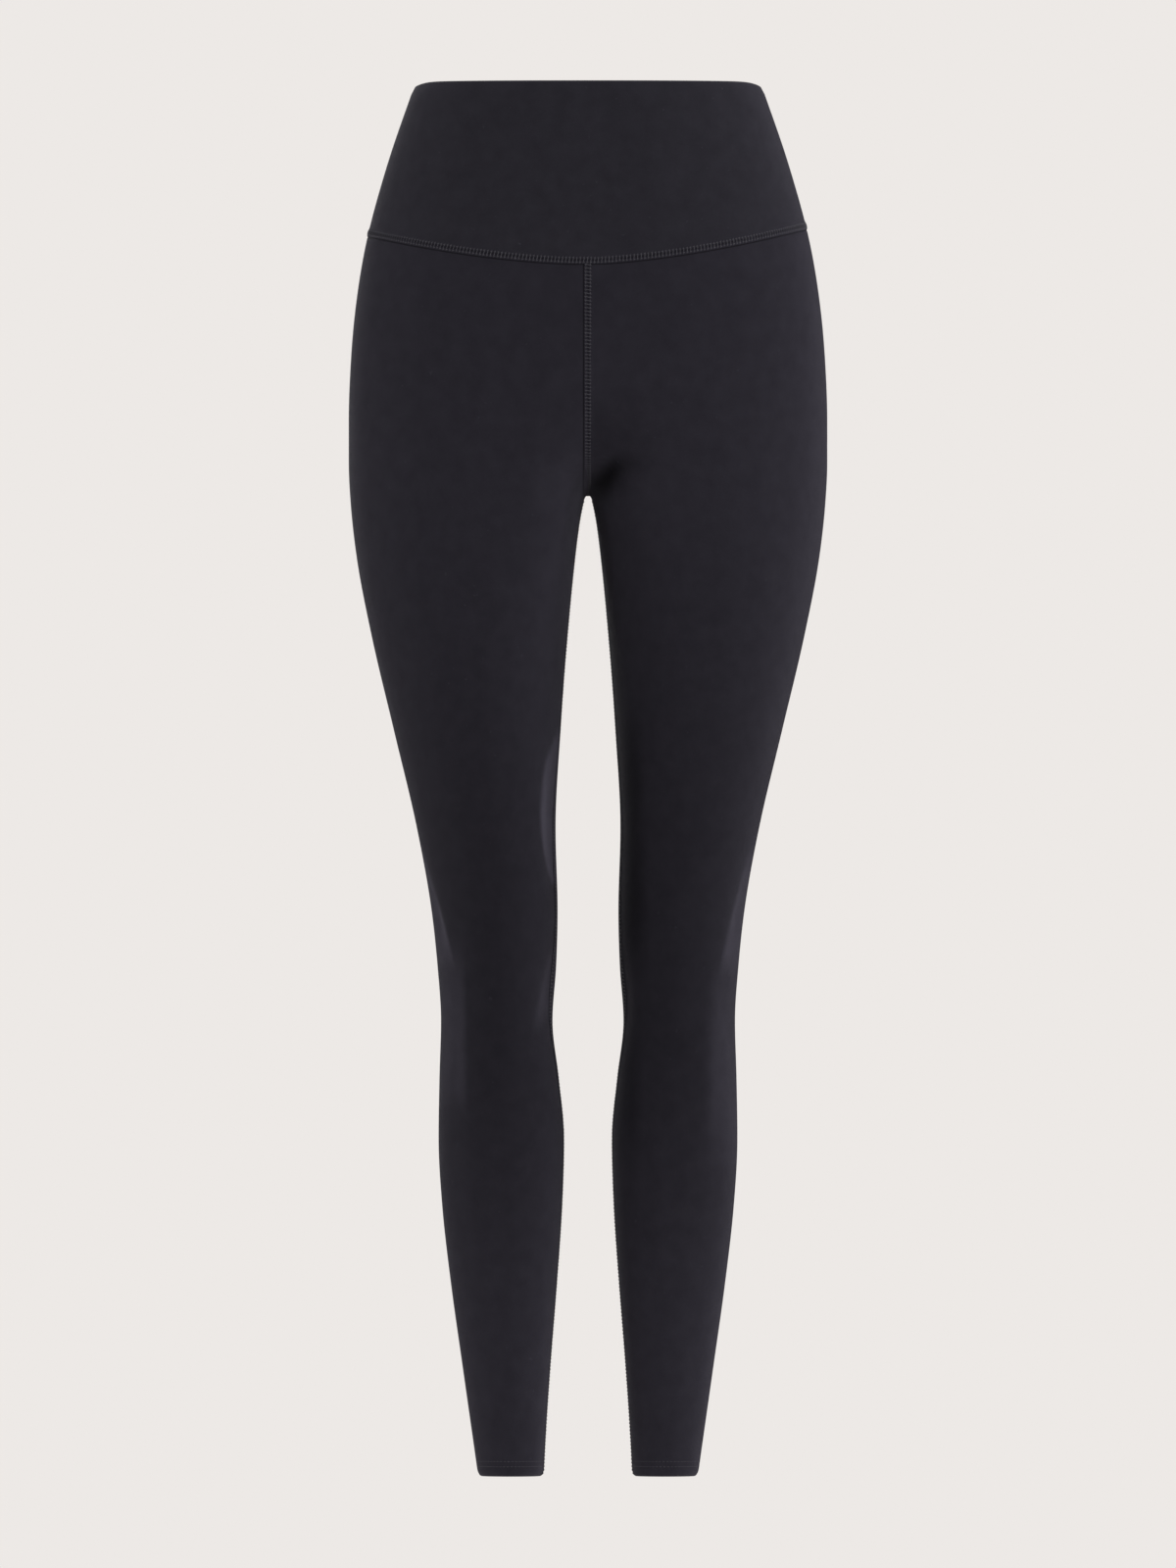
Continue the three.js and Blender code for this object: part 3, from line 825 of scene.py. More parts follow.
@dataclass
class LegPanel(Cloth):
    """One leg: a panel from the centre front round to the centre back, closed by its inseam.

    seam_places are distances from a seam at which there are places or rows close beside it. A
    column within column_spare of a column's width from them is left out. hem_step and hem_gaps
    place the rows beside the top of the turned-up hem and over its edge. crotch_lift is the
    share of the centre seam's relief that is left at the crotch. Where the centre and waist
    seams cross, from crossing_start down, each keeps crossing_share of its relief.
    """

    side: Side = Side.LEFT
    cloth: float = 1.6
    hem_cloth: float = 2.4
    hem_depth: float = 12.0
    columns: int = 144
    row_step: float = 5.0
    level_drop: float = 188.0
    crotch_rows: int = 22
    crotch_step: float = 0.09
    hem_step: float = 0.8
    hem_gaps: tuple[float, ...] = (9.5, 8.0, 6.5, 5.0, 3.6, 2.4)
    seam_places: tuple[float, ...] = (0.0, 0.3, 0.7, 1.4, 2.2, 2.6, 2.85, 3.15, 3.45, 3.9, 4.8, 6.5)
    column_spare: float = 0.45
    crotch_spread: float = 5.4
    crotch_fade: float = 26.0
    crotch_lift: float = 0.3
    crossing_start: float = 0.5
    crossing_share: float = 0.5
    centre_relief: SeamRelief = field(default_factory=SeamRelief)
    waist_relief: SeamRelief = field(default_factory=SeamRelief)
    inseam: Inseam = field(default_factory=Inseam)

    # Keys that sort a row's places: the front seam's before every turn, the back seam's after.
    FRONT_KEY = -1.0
    BACK_KEY = 3.0
    KEY_STEP = 1e-3

    @property
    def name(self) -> str:
        """The panel's piece name."""
        return f"leg_panel_{self.side.name.lower()}"

    @property
    def node(self) -> str:
        """The solid that the panel stands for."""
        return f"leg_{self.side.name.lower()}"

    def seam_spread(self, drop: float) -> float:
        """How much wider apart the places beside the inseam lie close under the crotch."""
        under = (drop - CROTCH_DROP) / self.crotch_fade
        return 1.0 + (self.crotch_spread - 1.0) * math.exp(-under)

    def strips(self, drop_of: LegDrop, closed: bool) -> list[tuple[Array, Array, Array]]:
        """The places close beside the seam at the two ends of a row.

        Args:
            drop_of: Gives the drop for a signed share of the half width and for front or back.
            closed: True below the crotch, where the two ends meet at the inseam.

        Returns:
            For the front end and the back end: points, turns and distances from the seam.
        """
        places = np.array(self.seam_places)
        made = []
        for ahead in (True, False):
            if closed:
                drop = float(drop_of(np.zeros(1), ahead)[0])
                away = places * self.seam_spread(drop) / self.form.around_per_turn(np.array([drop]))
                turn = self.inseam.turn_at(self.form, drop) + (away if ahead else -away)
                made.append((self.form.point(turn, np.full(places.shape, drop)), turn, places))
            else:
                outer = self.form.measures(np.array([self.waist.side]))["outer"]
                drop = drop_of(self.side.value * places / outer, ahead)
                points, turn = self.form.beside_centre(places, drop, ahead)
                made.append((points, turn if ahead else turn - 1.0, places))
        return made

    def row_at(
        self,
        drop_of: LegDrop,
        closed: bool,
        cloth: float,
        rolled: float = 0.0,
        edge_of: float | None = None,
        seam_of: float | None = None,
    ) -> Row:
        """One row of the panel.

        Args:
            drop_of: Gives the drop for a signed share of the half width and for front or back.
            closed: True where the row is a ring.
            cloth: The cloth's thickness.
            rolled: How far each face has rolled in.
            edge_of: The row's distance from the hem, where it isn't read from the drop.
            seam_of: The row's distance from the waist seam, where it runs beside it.

        Returns:
            The row.
        """
        front, back = self.strips(drop_of, closed)
        spare = self.column_spare / self.columns
        first, last = front[1][-1] + spare, 1.0 + back[1][-1] - spare
        numbers = np.arange(math.ceil(first * self.columns), math.floor(last * self.columns) + 1)
        turn = numbers / self.columns
        across = self.side.value * self.across_at(turn)
        ahead = (turn % 1.0) < 0.5
        middle = self.form.point(turn, drop_of(across, ahead))
        back_points, back_places = back[0][::-1], back[2][::-1]
        if closed:
            back_points, back_places = back_points[:-1], back_places[:-1]
        points = np.concatenate([front[0], middle, back_points])
        beyond = np.full(len(numbers), FAR_FROM_SEAM)
        distance = np.concatenate([front[2], beyond, back_places])
        front_keys = np.arange(len(self.seam_places)) * self.KEY_STEP + self.FRONT_KEY
        back_keys = self.BACK_KEY + np.arange(len(back_points)) * self.KEY_STEP
        keys = np.concatenate([front_keys, turn, back_keys])
        drop = -points[:, 2]
        edge = LENGTH - drop if edge_of is None else np.full(drop.shape, edge_of)
        fade = smooth(np.abs(drop - CROTCH_DROP) / self.crotch_fade)
        lift = self.centre_relief.lift_at(distance) * mix(self.crotch_lift, 1.0, fade)
        groove_shade = self.centre_relief.groove_shade_at(distance)
        if seam_of is not None:
            beside = self.waist_relief.lift_at(np.full(drop.shape, seam_of))
            across_it = self.centre_relief.lift_at(distance)
            crossed = (np.maximum(beside, 0.0) + across_it) * self.crossing_share
            lift = np.where(distance == FAR_FROM_SEAM, beside, crossed)
            lift = np.where(seam_of < self.crossing_start, beside, lift)
            groove_shade = np.maximum(groove_shade, self.waist_relief.groove_shade_at(np.full(drop.shape, seam_of)))
        steps = np.linalg.norm(np.diff(points, axis=0), axis=-1)
        outer_side = int(np.argmin(np.abs(keys - 0.5)))
        start = -float(np.sum(steps[:outer_side]))
        return self.lay(points, self.side, cloth, edge, rolled, lift, groove_shade, keys, start)

    def seam_rows(self) -> list[tuple[float, float]]:
        """Distances of the rows that follow the waist seam, and their shares of the way down."""
        near = list(self.seam_places)
        reach = self.level_drop - self.waist.front
        count = round((reach - near[-1]) / self.row_step)
        far = [mix(near[-1], reach, k / count) for k in range(1, count)]
        return [(distance, distance / reach) for distance in near + far]

    def rows(self) -> list[tuple[Row, bool]]:
        """Every row of the panel from the waist seam to the hem's rolled edge.

        Returns:
            The rows, each with True where it is a ring.
        """
        made = []
        reach = self.level_drop - self.waist.front
        for distance, share in self.seam_rows():

            def beside_seam(
                across: Array, ahead: Array | bool, distance: float = distance, share: float = share
            ) -> Array:
                """The drop of a row at this distance under the waist seam."""
                seam = self.waist.drop_at(across, ahead)
                return seam + distance + (self.level_drop - seam - reach) * share**2

            made.append((self.row_at(beside_seam, False, self.cloth, seam_of=distance), False))
        gaps = [self.crotch_step * k**2 for k in range(1, self.crotch_rows + 1)]
        above = [CROTCH_DROP - gap for gap in reversed(gaps)]
        count = round((above[0] - self.level_drop) / self.row_step)
        levels = [mix(self.level_drop, above[0], k / count) for k in range(count)] + above
        below = [CROTCH_DROP] + [CROTCH_DROP + gap for gap in gaps]
        hem_top = LENGTH - self.hem_depth
        count = round((hem_top - below[-1]) / self.row_step)
        below += [mix(below[-1], hem_top, k / count) for k in range(1, count)]
        below += [hem_top - self.hem_step, hem_top, hem_top + self.hem_step]
        below += [LENGTH - gap for gap in self.hem_gaps]
        for drop in levels + below:
            closed = drop >= CROTCH_DROP
            cloth = self.cloth if drop < hem_top else self.hem_cloth
            made.append((self.row_at(level(drop), closed, cloth), closed))
        for gap, rolled in reversed(self.edge.rolled(self.hem_cloth)):
            row = self.row_at(level(LENGTH - gap), True, self.hem_cloth, rolled=rolled, edge_of=gap)
            made.append((row, True))
        return made

    def build(self) -> bpy.types.Object:
        """Makes the panel's closed shell."""
        wall = Wall(flipped=self.side is Side.RIGHT)
        for row, closed in self.rows():
            wall.add_row(row, closed)
        return wall.finished(self.name)


def level(drop: float) -> LegDrop:
    """A row's drop where the row is level.

    Args:
        drop: The drop.

    Returns:
        A function of the share of the half width and of front or back, with that drop everywhere.
    """
    return lambda across, ahead: np.full(np.shape(across), drop)


@dataclass
class WaistbandPanel(Cloth):
    """The front or the back of the wide contoured waistband, in double cloth.

    The highest row below the rolled edge lies first_share of the edge's curl under the top edge.
    The rows grow further apart on the way up to it, by row_spare in all at the sides and by more
    elsewhere.
    """

    ahead: bool = True
    cloth: float = 2.6
    columns: int = 64
    row_step: float = 5.0
    top_dip: float = 2.4
    top_sharpness: float = 30.0
    first_share: float = 0.25
    row_spare: float = 1.0
    side_places: tuple[float, ...] = (0.0, 0.3, 0.7, 1.4, 2.6)
    seam_places: tuple[float, ...] = (0.0, 0.3, 0.7, 1.4, 2.2, 2.8, 3.3, 4.0, 5.5)
    waist_relief: SeamRelief = field(default_factory=lambda: SeamRelief(shoulder=1.2))
    side_relief: SeamRelief = field(
        default_factory=lambda: SeamRelief(lift=0.0, groove=0.4, groove_reach=0.9)
    )

    @property
    def name(self) -> str:
        """The panel's piece name."""
        return f"waistband_panel_{'front' if self.ahead else 'back'}"

    @property
    def node(self) -> str:
        """The solid that the panel stands for."""
        return f"waistband_{'front' if self.ahead else 'back'}"

    def top_drop(self, across: Array) -> Array:
        """The drop of the top edge, which dips at the sides."""
        return self.top_dip * np.abs(across) ** self.top_sharpness

    def half(self, side: Side, drop_of: BandDrop) -> tuple[Array, Array, Array]:
        """One half of a row, from the centre to the side seam.

        Args:
            side: The wearer's side.
            drop_of: Gives the drop for each signed share of the half width.

        Returns:
            The points, their signed shares of the half width, and distances from the side seam.
        """
        zero = np.zeros(1)
        centre, centre_turn = self.form.beside_centre(zero, drop_of(zero), self.ahead)
        found = self.form.measures(drop_of(np.array([float(side.value)])))
        middle_x = found["front_x"] if self.ahead else found["back_x"]
        per_turn = float((FULL_TURN * (found["outer"] - middle_x))[0])
        places = np.array(self.side_places)
        away = places / per_turn
        near = (0.5 - away if self.ahead else 0.5 + away)[::-1]
        shares = np.arange(1, self.columns) / self.columns
        far = mix(centre_turn[0], near[0], shares)
        turn = np.concatenate([far, near])
        across = side.value * self.across_at(turn)
        points = np.concatenate([centre, self.form.point(turn, drop_of(across))])
        distance = np.concatenate([np.full(self.columns, FAR_FROM_SEAM), places[::-1]])
        return points, np.concatenate([zero, across]), distance

    def row_at(
        self, drop_of: BandDrop, rolled: float, seam_of: float, edge_of: float | None = None
    ) -> Row:
        """One row of the panel, from the wearer's right side seam to the left one.

        Args:
            drop_of: Gives the drop for each signed share of the half width.
            rolled: How far each face has rolled in.
            seam_of: The row's distance from the waist seam.
            edge_of: The row's distance from the top edge, where it isn't read from the drop.

        Returns:
            The row.
        """
        halves = []
        for side in (Side.RIGHT, Side.LEFT):
            points, across, distance = self.half(side, drop_of)
            plain = -points[:, 2] - self.top_drop(across)
            edge = plain if edge_of is None else np.full(plain.shape, edge_of)
            lift = self.waist_relief.lift_at(np.full(distance.shape, seam_of))
            lift = lift + self.side_relief.lift_at(distance)
            groove_shade = self.waist_relief.groove_shade_at(np.full(distance.shape, seam_of))
            groove_shade = np.maximum(groove_shade, self.side_relief.groove_shade_at(distance))
            keys = side.value * np.arange(len(points)) / 100.0
            halves.append(self.lay(points, side, self.cloth, edge, rolled, lift, groove_shade, keys, 0.0))
        right, left = halves
        return Row(
            np.concatenate([right.keys[:0:-1], left.keys]),
            np.concatenate([right.outer[:0:-1], left.outer]),
            np.concatenate([right.inner[:0:-1], left.inner]),
            np.concatenate([-right.around[:0:-1], left.around]),
            np.concatenate([right.down[:0:-1], left.down]),
            np.concatenate([right.shade[:0:-1], left.shade]),
        )

    def build(self) -> bpy.types.Object:
        """Makes the panel's closed shell."""
        wall = Wall(flipped=not self.ahead)
        for gap, rolled in self.edge.rolled(self.cloth):

            def under_edge(across: Array, gap: float = gap) -> Array:
                """The drop of a row at this distance under the top edge."""
                return self.top_drop(across) + gap

            wall.add_row(self.row_at(under_edge, rolled, FAR_FROM_SEAM, gap), False)
        first = self.edge.curl_reach * self.first_share
        reach = self.waist.side - self.waist.skew - first - self.top_dip - self.row_spare
        near = list(self.seam_places)
        count = round((reach - near[-1]) / self.row_step)
        distances = near + [mix(near[-1], reach, k / count) for k in range(1, count + 1)]
        for distance in reversed(distances):

            def above_seam(across: Array, distance: float = distance) -> Array:
                """The drop of a row at this distance over the waist seam."""
                seam = self.waist.drop_at(across, self.ahead)
                spare = seam - reach - self.top_drop(across) - first
                return seam - distance - spare * (distance / reach) ** 2

            wall.add_row(self.row_at(above_seam, 0.0, distance), False)
        return wall.finished(self.name)


class NodeKit:
    """Adds and links nodes in one tree."""

    # Numbers of a Mix node's two colour inputs and of its colour output.
    FIRST_COLOUR = 6
    SECOND_COLOUR = 7
    MIXED_COLOUR = 2

    def __init__(self, tree: bpy.types.NodeTree) -> None:
        """Keeps the tree that the nodes go into."""
        self.tree = tree

    def add(self, kind: str, inputs: dict | None = None, **settings: object) -> bpy.types.Node:
        """Adds a node.

        Args:
            kind: The node's type.
            inputs: For an input's name or number, a value or another node's output socket.
            settings: The node's own settings.

        Returns:
            The node.
        """
        node = self.tree.nodes.new(kind)
        for name, value in settings.items():
            setattr(node, name, value)
        for name, value in (inputs or {}).items():
            if isinstance(value, bpy.types.NodeSocket):
                self.tree.links.new(value, node.inputs[name])
            else:
                node.inputs[name].default_value = value
        return node

    def math(
        self, operation: str, first: object, second: object = 0.0, third: object = 0.0
    ) -> bpy.types.NodeSocket:
        """The result of one sum."""
        node = self.add("ShaderNodeMath", {0: first, 1: second, 2: third}, operation=operation)
        return node.outputs[0]

    def blend(self, share: bpy.types.NodeSocket, first: Colour, second: Colour) -> bpy.types.NodeSocket:
        """A colour between two others.

        Args:
            share: How far it has gone from the first to the second.
            first: The first colour.
            second: The second colour.

        Returns:
            The colour's socket.
        """
        mixed = self.add("ShaderNodeMix", data_type="RGBA", clamp_factor=True)
        self.tree.links.new(share, mixed.inputs[0])
        mixed.inputs[self.FIRST_COLOUR].default_value = (*first, 1.0)
        mixed.inputs[self.SECOND_COLOUR].default_value = (*second, 1.0)
        return mixed.outputs[self.MIXED_COLOUR]


class Groups:
    """Effects that the finishes share, each built once as a node group.

    A knitted loop's two legs lie LEG_FROM_MIDDLE of a column from its middle. LOOP_POWER and
    LEG_POWER round a loop along and across. FLECK_EDGE sets how sharply a fleck begins.
    """

    LEG_FROM_MIDDLE = 0.25
    LOOP_POWER = 0.6
    LEG_POWER = 0.5
    FLECK_EDGE = 30.0

    def __init__(self) -> None:
        """Builds the groups."""
        self.knit = self.knit_group()
        self.nap = self.nap_group()

    @staticmethod
    def new_group(
        name: str, inputs: dict[str, tuple[str, object]], outputs: tuple[str, ...]
    ) -> bpy.types.NodeTree:
        """An empty shader group with named sockets.

        Args:
            name: The group's name.
            inputs: For each input, its socket type and first value.
            outputs: The names of its outputs, all plain values.

        Returns:
            The group.
        """
        group = bpy.data.node_groups.new(name, "ShaderNodeTree")
        for socket, (kind, value) in inputs.items():
            made = group.interface.new_socket(name=socket, in_out="INPUT", socket_type=kind)
            if value is not None:
                made.default_value = value
        for socket in outputs:
            group.interface.new_socket(name=socket, in_out="OUTPUT", socket_type="NodeSocketFloat")
        return group

    def knit_group(self) -> bpy.types.NodeTree:
        """Plain jersey knit: upright columns of small slanted loops, in cloth coordinates.

        Returns:
            The group, which gives the loops' height from 0 to 1.
        """
        inputs = {
            "Cloth": ("NodeSocketVector", None),
            "Column Width": ("NodeSocketFloat", 0.0007),
            "Loop Height": ("NodeSocketFloat", 0.0006),
            "Slant": ("NodeSocketFloat", 0.8),
        }
        group = self.new_group("JerseyKnit", inputs, ("Height",))
        kit = NodeKit(group)
        given = kit.add("NodeGroupInput").outputs
        apart = kit.add("ShaderNodeSeparateXYZ", {0: given["Cloth"]}).outputs
        column = kit.math("FRACT", kit.math("DIVIDE", apart["X"], given["Column Width"]))
        from_middle = kit.math("ABSOLUTE", kit.math("SUBTRACT", column, 0.5))
        leg = kit.math("ABSOLUTE", kit.math("SUBTRACT", from_middle, self.LEG_FROM_MIDDLE))
        from_leg = kit.math("MULTIPLY", leg, 1.0 / self.LEG_FROM_MIDDLE)
        roundness = kit.math("SUBTRACT", 1.0, from_leg)
        slanted = kit.math("MULTIPLY", from_middle, given["Slant"])
        course = kit.math("ADD", kit.math("DIVIDE", apart["Y"], given["Loop Height"]), slanted)
        wave = kit.math("MULTIPLY", kit.math("FRACT", course), math.pi)
        loop = kit.math("POWER", kit.math("SINE", wave), self.LOOP_POWER)
        height = kit.math("MULTIPLY", kit.math("POWER", roundness, self.LEG_POWER), loop)
        kit.add("NodeGroupOutput", {"Height": height})
        return group

    def nap_group(self) -> bpy.types.NodeTree:
        """Brushed nap: fine fibres, soft cloudy shading and a few stray light fibres.

        Returns:
            The group, which gives three masks from 0 to 1.
        """
        inputs = {
            "Place": ("NodeSocketVector", None),
            "Fibre Scale": ("NodeSocketFloat", 1600.0),
            "Cloud Scale": ("NodeSocketFloat", 80.0),
            "Fleck Scale": ("NodeSocketFloat", 260.0),
            "Fleck Level": ("NodeSocketFloat", 0.72),
        }
        group = self.new_group("BrushedNap", inputs, ("Fibre", "Cloud", "Fleck"))
        kit = NodeKit(group)
        given = kit.add("NodeGroupInput").outputs

        def noise(scale: str, detail: float) -> bpy.types.NodeSocket:
            """Noise at one of the given scales."""
            inputs = {"Vector": given["Place"], "Scale": given[scale], "Detail": detail}
            return kit.add("ShaderNodeTexNoise", inputs).outputs[0]

        fleck = kit.math("SUBTRACT", noise("Fleck Scale", 3.0), given["Fleck Level"])
        steep = kit.math("MULTIPLY", fleck, self.FLECK_EDGE)
        sharp = kit.add("ShaderNodeClamp", {"Value": steep}).outputs[0]
        fibre, cloud = noise("Fibre Scale", 2.0), noise("Cloud Scale", 3.0)
        kit.add("NodeGroupOutput", {"Fibre": fibre, "Cloud": cloud, "Fleck": sharp})
        return group


@dataclass(frozen=True)
class ClothFinish:
    """Matt brushed stretch jersey, or its double layer in the waistband.

    hip_painted_light and ankle_painted_light: painted light, how much paler the cloth is painted over the
    hips and over the ankles, where it looks more brightly lit. Each sets in between two levels in metres,
    HIP_LEVELS and ANKLE_LEVELS. The shares say how much each part of the nap and the knit goes from
    the deep colour to the light one, less DEEP_SHARE. rough_reach is how far the fibres change the
    roughness.
    """

    name: str
    deep: Colour
    light: Colour
    column_width: float = 0.0007
    knit_depth: float = 0.00012
    sheen: float = 0.09
    sheen_roughness: float = 0.45
    sheen_tint: Colour = (0.84, 0.81, 0.96)
    roughness: float = 0.86
    hip_painted_light: float = 0.0
    ankle_painted_light: float = 0.0
    specular: float = 0.06
    rough_reach: float = 0.08
    bump_strength: float = 0.55

    HIP_LEVELS = (-0.62, -0.26)
    ANKLE_LEVELS = (-0.68, -0.93)
    CLOUD_SHARE = 0.6
    FIBRE_SHARE = 0.5
    LOOP_SHARE = 0.25
    DEEP_SHARE = 0.2
    FLECK_SHARE = 0.8
    FIBRE_HEIGHT = 0.8

    def made(self, groups: Groups) -> bpy.types.Material:
        """Builds the material.

        Args:
            groups: The shared node groups.

        Returns:
            The material.
        """
        material = bpy.data.materials.new(self.name)
        material.use_nodes = True
        kit = NodeKit(material.node_tree)
        material.node_tree.nodes.clear()
        places = kit.add("ShaderNodeTexCoord").outputs
        cloth = kit.add("ShaderNodeUVMap", uv_map=UV_NAME).outputs[0]
        knit = kit.add("ShaderNodeGroup", node_tree=groups.knit)
        kit.tree.links.new(cloth, knit.inputs["Cloth"])
        knit.inputs["Column Width"].default_value = self.column_width
        nap = kit.add("ShaderNodeGroup", node_tree=groups.nap)
        kit.tree.links.new(places["Object"], nap.inputs["Place"])
        fibre = kit.math("MULTIPLY", nap.outputs["Fibre"], self.FIBRE_SHARE)
        share = kit.math("MULTIPLY_ADD", nap.outputs["Cloud"], self.CLOUD_SHARE, fibre)
        share = kit.math("SUBTRACT", share, self.DEEP_SHARE)
        share = kit.math("MULTIPLY_ADD", knit.outputs["Height"], self.LOOP_SHARE, share)
        share = kit.math("MULTIPLY_ADD", nap.outputs["Fleck"], self.FLECK_SHARE, share)
        colour = kit.blend(share, self.deep, self.light)
        # Painted light and shade: the shade attribute's painted highlights and shade, and the paler tone
        # painted over the hips and ankles, scale the cloth's colour.
        shade = kit.add("ShaderNodeAttribute", attribute_name=SHADE_NAME).outputs["Fac"]
        height_z = kit.add("ShaderNodeSeparateXYZ", {0: places["Object"]}).outputs["Z"]
        tone = 1.0
        tones = ((self.HIP_LEVELS, self.hip_painted_light), (self.ANKLE_LEVELS, self.ankle_painted_light))
        for (start, end), paler in tones:
            eased = kit.add(
                "ShaderNodeMapRange",
                {"Value": height_z, "From Min": start, "From Max": end, "To Min": 0.0, "To Max": paler},
                interpolation_type="SMOOTHSTEP",
            )
            tone = kit.math("ADD", eased.outputs[0], tone)
        kept = kit.math("MULTIPLY", kit.math("ADD", shade, 1.0), tone)
        seen = kit.add("ShaderNodeVectorMath", {0: colour, 1: kept}, operation="MULTIPLY")
        smoothest = self.roughness - self.rough_reach
        rough = kit.math("MULTIPLY_ADD", nap.outputs["Fibre"], 2.0 * self.rough_reach, smoothest)
        relief = kit.math("MULTIPLY_ADD", nap.outputs["Fibre"], self.FIBRE_HEIGHT, knit.outputs["Height"])
        bump = kit.add(
            "ShaderNodeBump",
            {"Height": relief, "Strength": self.bump_strength, "Distance": self.knit_depth},
        )
        shader = kit.add(
            "ShaderNodeBsdfPrincipled",
            {
                "Base Color": seen.outputs[0],
                "Diffuse Roughness": 1.0,
                "Roughness": rough,
                "Normal": bump.outputs[0],
                "Specular IOR Level": self.specular,
                "Sheen Weight": self.sheen,
                "Sheen Roughness": self.sheen_roughness,
                "Sheen Tint": (*self.sheen_tint, 1.0),
            },
        )
        kit.add("ShaderNodeOutputMaterial", {"Surface": shader.outputs[0]})
        return material


@dataclass(frozen=True)
class ThreadFinish:
    """Soft textured seam thread, a little lighter than the cloth."""

    name: str
    deep: Colour
    light: Colour
    sheen: float = 0.15
    roughness: float = 0.7
    specular: float = 0.4
    fibre_scale: float = 3200.0
    bump_strength: float = 0.5
    bump_depth: float = 0.0001

    def made(self, groups: Groups) -> bpy.types.Material:
        """Builds the material.

        Args:
            groups: The shared node groups.

        Returns:
            The material.
        """
        material = bpy.data.materials.new(self.name)
        material.use_nodes = True
        kit = NodeKit(material.node_tree)
        material.node_tree.nodes.clear()
        places = kit.add("ShaderNodeTexCoord").outputs
        nap = kit.add("ShaderNodeGroup", node_tree=groups.nap)
        kit.tree.links.new(places["Object"], nap.inputs["Place"])
        nap.inputs["Fibre Scale"].default_value = self.fibre_scale
        fibre = nap.outputs["Fibre"]
        colour = kit.blend(fibre, self.deep, self.light)
        bump = kit.add(
            "ShaderNodeBump",
            {"Height": fibre, "Strength": self.bump_strength, "Distance": self.bump_depth},
        )
        shader = kit.add(
            "ShaderNodeBsdfPrincipled",
            {
                "Base Color": colour,
                "Normal": bump.outputs[0],
                "Roughness": self.roughness,
                "Specular IOR Level": self.specular,
                "Sheen Weight": self.sheen,
            },
        )
        kit.add("ShaderNodeOutputMaterial", {"Surface": shader.outputs[0]})
        return material


